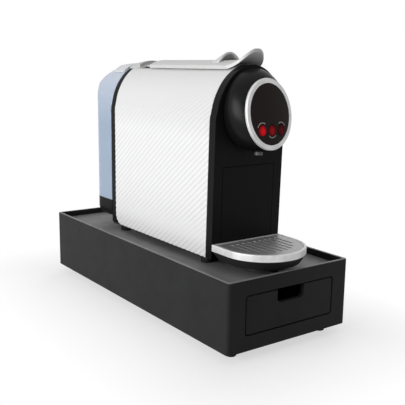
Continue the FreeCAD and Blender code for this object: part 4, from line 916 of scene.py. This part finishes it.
@dataclass
class Casing(SubAssembly):
    """The machine's outer shells and the chassis under them.

    The half widths of a groove, at its mouth and at its floor, are shares of the grooves' pitch.
    """

    panel_edge: float = 0.0005
    cover_edge: float = 0.0003
    frame_edge: float = 0.0004
    outer_facing: float = 0.3
    groove_depth: float = 0.0003
    groove_mouth: float = 0.3
    groove_floor: float = 0.1

    def grooves(self, panel: bpy.types.Object, side: int) -> None:
        """Cuts the fine slanting grooves into the outer face of a panel.

        Args:
            panel: the rounded panel.
            side: -1 for the left panel and 1 for the right one.
        """
        pitch = PANEL_LINES.pitch
        across = Vector((-side, PANEL_LINES.slope, 1.0))
        reach = [across.dot(point.co) / pitch for point in panel.data.vertices]
        edit(panel)
        pick(lambda face: face.normal.x * side > self.outer_facing)
        bpy.ops.mesh.hide(unselected=True)
        for index in range(math.floor(min(reach)) - 1, math.ceil(max(reach)) + 1):
            for offset in (-self.groove_mouth, -self.groove_floor, self.groove_floor, self.groove_mouth):
                cut = (index + PANEL_LINES.middle + offset) * pitch
                bpy.ops.mesh.select_all(action="SELECT")
                bpy.ops.mesh.bisect(plane_co=across * cut / across.length_squared, plane_no=across)
        leave()
        self.sink(panel, across)
        edit(panel)
        bpy.ops.mesh.reveal(select=False)
        leave()
        bpy.ops.mesh.customdata_custom_splitnormals_clear()
        smooth(panel)

    def sink(self, panel: bpy.types.Object, across: Vector) -> None:
        """Sinks the floors of the grooves into a panel whose other faces are hidden.

        Args:
            panel: the panel, cut along the edges of the grooves.
            across: the direction across the grooves.
        """
        group = panel.vertex_groups.new(name="grooves")
        outer = {index for face in panel.data.polygons if not face.hide for index in face.vertices}
        for index in outer:
            place = panel.data.vertices[index].co
            turn = (across.dot(place) / PANEL_LINES.pitch - PANEL_LINES.middle + 0.5) % 1.0 - 0.5
            if abs(turn) < (self.groove_floor + self.groove_mouth) / 2:
                group.add([index], PANEL_LINES.kept(place), "REPLACE")
        modify(panel, "DISPLACE", vertex_group=group.name, strength=-self.groove_depth, mid_level=0.0)
        panel.vertex_groups.clear()

    def build(self) -> None:
        """Builds the casing."""
        for side, node in ((-1, "side_panel_left"), (1, "side_panel_right")):
            self.grooves(self.soften(node, self.panel_edge), side)
        self.soften("top_cover", self.panel_edge)
        self.soften("front_cover", self.cover_edge)
        self.soften("rear_frame", self.frame_edge)
        self.dress("head_shell", "chassis", "machine_feet", "chassis_screws", "power_gland")
        self.dress("frame_cheek_left", "frame_cheek_right")


@dataclass
class Spout(SubAssembly):
    """The outlet under the head."""

    place: Point = (0.0, -0.1415, 0.203)
    sides: int = 64
    radius: float = 0.0045
    length: float = 0.0095
    flange: float = 0.007
    flange_height: float = 0.0025
    wall: float = 0.0014
    bore_depth: float = 0.0095
    lip: float = 0.0006
    edge: float = 0.0004
    edge_steps: int = 3
    margin: float = 0.0001

    def build(self) -> None:
        """Models the grey nozzle, with the inside of its bore painted black as painted shade."""
        bpy.ops.object.select_all(action="DESELECT")
        x, y, low = self.place
        high = low + self.length
        bpy.ops.mesh.primitive_cylinder_add(vertices=self.sides, radius=self.radius, depth=self.length,
                                            location=(x, y, low + self.length / 2))
        nozzle = bpy.context.object
        nozzle.name = "spout_nozzle"
        apply_place(nozzle)
        edit(nozzle)
        pick(lambda face: face.normal.z < -FACING)
        bpy.ops.mesh.inset(thickness=self.wall)
        extrude((0, 0, self.bore_depth))
        pick(lambda face: face.normal.z > FACING and face.calc_center_median().z > high - self.margin)
        wide = self.flange / self.radius
        extrude((0, 0, 0), (wide, wide, 1.0))
        extrude((0, 0, self.flange_height))
        leave()
        round_edges(nozzle, self.edge, self.edge_steps)
        self.keep(nozzle, "machine", ("brew_plastic", "body_black"), ("spout",))
        # Painted shade: the faces inside the bore take the black finish, for the dark of the hole.
        for face in nozzle.data.polygons:
            across = math.hypot(face.center.x - x, face.center.y - y)
            inside = across < self.radius - self.wall + self.margin
            face.material_index = int(inside and low + self.lip < face.center.z < high + self.margin)


@dataclass
class ControlPanel(SubAssembly):
    """The oval panel on the front of the head."""

    centre: Point = (0.0, -0.1585, 0.2485)
    tilt: float = 9.0
    button_drop: float = 0.017
    button_spacing: float = 0.013
    button_ratio: float = 0.818
    arc_radius: float = 0.008
    arc_width: float = 0.0009
    arc_height: float = 0.00012
    arc_steps: int = 24
    arc_lift: float = 0.01
    arcs: Sequence[Tuple[int, float, float]] = ((-1, 55.0, 155.0), (0, 225.0, 315.0), (1, 30.0, 120.0))

    def plane(self) -> Matrix:
        """The panel's own frame, with Z out of its face."""
        return Matrix.Translation(self.centre) @ Matrix.Rotation(math.radians(90.0 - self.tilt), 4, "X")

    def strip(self, sweep: float) -> bpy.types.Object:
        """Models a flat strip that runs round the origin, from the X axis on.

        Args:
            sweep: the angle that it covers.

        Returns:
            The strip.
        """
        bpy.ops.object.select_all(action="DESELECT")
        bpy.ops.mesh.primitive_plane_add(size=self.arc_width, location=(self.arc_radius, 0, 0))
        strip = bpy.context.object
        apply_place(strip)
        edit(strip)
        bpy.ops.mesh.select_mode(type="EDGE")
        bpy.ops.mesh.select_all(action="DESELECT")
        mesh = bmesh.from_edit_mesh(strip.data)
        for edge in mesh.edges:
            edge.select_set(all(point.co.y > 0 for point in edge.verts))
        bmesh.update_edit_mesh(strip.data)
        bpy.ops.mesh.spin(steps=self.arc_steps, angle=math.radians(sweep), center=(0, 0, 0), axis=(0, 0, 1))
        bpy.ops.mesh.select_all(action="SELECT")
        bpy.ops.mesh.normals_make_consistent(inside=False)
        leave()
        return strip

    def arc(self, column: int, start: float, end: float) -> bpy.types.Object:
        """Models one printed arc beside a button.

        Args:
            column: the button's place in the row, from -1 to 1.
            start: the angle where the arc starts.
            end: the angle where it ends.

        Returns:
            The arc, lying on the panel.
        """
        arc = self.strip(end - start)
        lowest = min(point.co.y for point in arc.data.vertices)
        # The spin may have gone either way round.
        turn = start if lowest > -self.arc_width else end
        narrow = Matrix.Scale(self.button_ratio, 4, (1, 0, 0))
        arc.data.transform(narrow @ Matrix.Rotation(math.radians(turn), 4, "Z"))
        shift = (column * self.button_spacing, -self.button_drop, self.arc_lift)
        arc.matrix_world = Matrix.Translation(shift)
        apply_place(arc)
        arc.matrix_world = self.plane()
        bpy.context.view_layer.update()
        modify(arc, "SHRINKWRAP", target=frame["nodes"]["control_disc"], wrap_method="PROJECT",
               use_project_z=True, use_negative_direction=True, use_positive_direction=False,
               offset=self.arc_height)
        apply_place(arc)
        return arc

    def marks(self) -> None:
        """Lays the plain arcs that go with the buttons."""
        arcs = [self.arc(*values) for values in self.arcs]
        only(*arcs)
        bpy.ops.object.join()
        marks = arcs[0]
        marks.name = "panel_arcs"
        modify(marks, "SOLIDIFY", thickness=self.arc_height, offset=-1.0)
        self.keep(marks, "machine", ("hose_grey",))

    def build(self) -> None:
        """Builds the panel."""
        self.dress("ring_bezel", "control_disc", "button_left", "button_middle", "button_right")
        self.dress("button_board", "button_switches")
        self.marks()


@dataclass
class Lever(SubAssembly):
    """The lever that opens the brew group, with its hood and links."""

    edge: float = 0.0003

    def build(self) -> None:
        """Builds the lever."""
        self.soften("lever", self.edge, angle=CURVED_ANGLE)
        self.soften("lever_hood", self.edge)
        self.dress("lever_pin", "link_pins", "toggle_links")


@dataclass
class BrewGroup(SubAssembly):
    """What works inside the machine."""

    nodes: Tuple[str, ...] = (
        "brew_cage", "cage_pin", "brew_housing", "extraction_plate", "pod_chute", "outlet_pipe", "pump",
        "pump_mounts", "flow_meter", "inlet_hose", "pressure_hose", "brew_hose", "thermoblock",
        "control_board", "board_posts",
    )

    def build(self) -> None:
        """Dresses the inner pieces."""
        self.dress(*self.nodes)


@dataclass
class DripTray(SubAssembly):
    """The tray with its rim, its grille and the bin for used pods."""

    tray_edge: float = 0.0008
    grille_edge: float = 0.0002

    def build(self) -> None:
        """Builds the tray."""
        self.soften("drip_tray", self.tray_edge, slot="base_black")
        self.soften("drip_grille", self.grille_edge)
        self.soften("pod_bin", self.grille_edge)
        self.dress("tray_rim")


@dataclass
class WaterTank(SubAssembly):
    """The tank behind the machine, with its lid, cradle and valve."""

    tank_edge: float = 0.0006
    tank_steps: int = 3
    lid_edge: float = 0.0004

    def build(self) -> None:
        """Builds the tank."""
        self.soften("water_tank", self.tank_edge, self.tank_steps)
        self.soften("tank_lid", self.lid_edge)
        self.dress("tank_cradle", "tank_valve", "valve_seal", "lid_pin")


@dataclass(frozen=True)
class Lamp:
    """One soft square lamp, which may be kept out of glossy surfaces."""

    name: str
    place: Point
    aim: Point
    size: float
    watts: float
    gloss: bool = True

    def hang(self) -> None:
        """Hangs the lamp in the scene."""
        light = bpy.data.lights.new(self.name, "AREA")
        light.size = self.size
        light.energy = self.watts
        lamp = bpy.data.objects.new(self.name, light)
        lamp.location = self.place
        ahead = Vector(self.aim) - Vector(self.place)
        lamp.rotation_euler = ahead.to_track_quat("-Z", "Y").to_euler()
        lamp.visible_glossy = self.gloss
        bpy.context.scene.collection.objects.link(lamp)


@dataclass
class Studio:
    """Floor, light and the camera of the photograph, whose focal length is in pixels."""

    azimuth: float = -36.0
    elevation: float = 11.2
    roll: float = 0.8
    distance: float = 0.8387
    target: Point = (-0.0013, -0.04025, 0.1331)
    focal: float = 680.9
    frame_pixels: float = 405.0
    sensor: float = 36.0
    sight: float = 50.0
    floor_size: float = 12.0
    floor_scale: float = 3.0
    floor_tones: Steps = ((0.3, 0.93), (0.7, 0.95))
    floor_roughness: float = 0.9
    floor_gloss: float = 0.1
    floor_bounce: float = 0.4
    shadow_share: float = 0.4
    shadow_reach: float = 0.13
    foot_half: Pair = (0.085, 0.202)
    sky: float = 0.32
    lamps: Tuple[Lamp, ...] = (
        Lamp("key", (-1.76, -0.09, 0.5), aim=(0.0, 0.0, 0.15), size=1.0, watts=26.0),
        Lamp("top", (0.0, 0.1, 1.9), aim=(0.0, 0.0, 0.1), size=1.4, watts=2.5),
        Lamp("fill", (1.35, 1.1, 0.45), aim=(0.0, 0.0, 0.15), size=1.2, watts=20.0, gloss=False),
    )

    def camera(self) -> None:
        """Sets the camera at the photograph's viewing angle."""
        turn = math.radians(self.azimuth)
        rise = math.radians(self.elevation)
        roll = math.radians(self.roll)
        back = Vector((math.sin(turn) * math.cos(rise), -math.cos(turn) * math.cos(rise), math.sin(rise)))
        level = Vector((0, 0, 1)).cross(back).normalized()
        upward = back.cross(level)
        right = level * math.cos(roll) + upward * math.sin(roll)
        top = upward * math.cos(roll) - level * math.sin(roll)
        place = Vector(self.target) + back * self.distance
        lens = bpy.data.cameras.new("camera")
        lens.sensor_width = self.sensor
        lens.lens = self.focal / self.frame_pixels * self.sensor
        lens.clip_end = self.sight
        camera = bpy.data.objects.new("camera", lens)
        camera.matrix_world = Matrix((
            (right.x, top.x, back.x, place.x),
            (right.y, top.y, back.y, place.y),
            (right.z, top.z, back.z, place.z),
            (0, 0, 0, 1),
        ))
        bpy.context.scene.collection.objects.link(camera)
        bpy.context.scene.camera = camera

    def floor(self) -> None:
        """Lays the white floor, which keeps the shadow near the object and is plain white further out."""
        bpy.ops.object.select_all(action="DESELECT")
        bpy.ops.mesh.primitive_plane_add(size=self.floor_size, location=(0, 0, 0))
        floor = bpy.context.object
        floor.name = "floor"
        sheet = Shader("floor_white")
        tone = sheet.tones(sheet.noise(self.floor_scale), WHITE, self.floor_tones)
        seen = sheet.seen()
        sheet.paint(sheet.mix(seen, grey(self.floor_bounce), tone))
        sheet.set(Roughness=self.floor_roughness, Specular_IOR_Level=self.floor_gloss)
        far = sheet.span(self.away(sheet), 1.0 - self.shadow_share, 1.0, 0.0, self.shadow_reach)
        white = sheet.add("ShaderNodeEmission", {"Color": grey(1.0), "Strength": 1.0})
        sheet.choose(sheet.math("MULTIPLY", far, seen), sheet.surface, white, sheet.out)
        floor.data.materials.append(sheet.material)

    def away(self, sheet: Shader) -> bpy.types.Node:
        """The distance of a spot on the floor from the edge of the base.

        Args:
            sheet: the floor's material.

        Returns:
            The node that gives the distance.
        """
        squares = []
        for axis, half in zip(sheet.axes(), self.foot_half):
            past = sheet.math("SUBTRACT", sheet.math("ABSOLUTE", axis), half)
            outside = sheet.math("MAXIMUM", past, 0.0)
            squares.append(sheet.math("MULTIPLY", outside, outside))
        return sheet.math("SQRT", sheet.math("ADD", *squares))

    def world(self) -> None:
        """Makes a plain pale sky that shows as white behind the object."""
        world = bpy.data.worlds.new("studio")
        bpy.context.scene.world = world
        world.use_nodes = True
        sheet = Sheet(world.node_tree)
        sky = sheet.add("ShaderNodeBackground", {"Color": grey(1.0), "Strength": self.sky})
        white = sheet.add("ShaderNodeBackground", {"Color": grey(1.0), "Strength": 1.0})
        sheet.choose(sheet.seen(), sky, white, sheet.add("ShaderNodeOutputWorld"))

    def build(self) -> None:
        """Sets up the whole studio."""
        self.camera()
        self.floor()
        self.world()
        for lamp in self.lamps:
            lamp.hang()
        bpy.context.scene.view_settings.view_transform = "Standard"


def main() -> None:
    """Builds the studio and every piece."""
    logging.basicConfig(level=logging.INFO)
    Studio().build()
    wardrobe = Wardrobe()
    for kind in (BaseCabinet, Drawer, Casing, Spout, ControlPanel, Lever, BrewGroup, DripTray, WaterTank):
        kind(wardrobe).build()


if __name__ == "__main__":
    main()
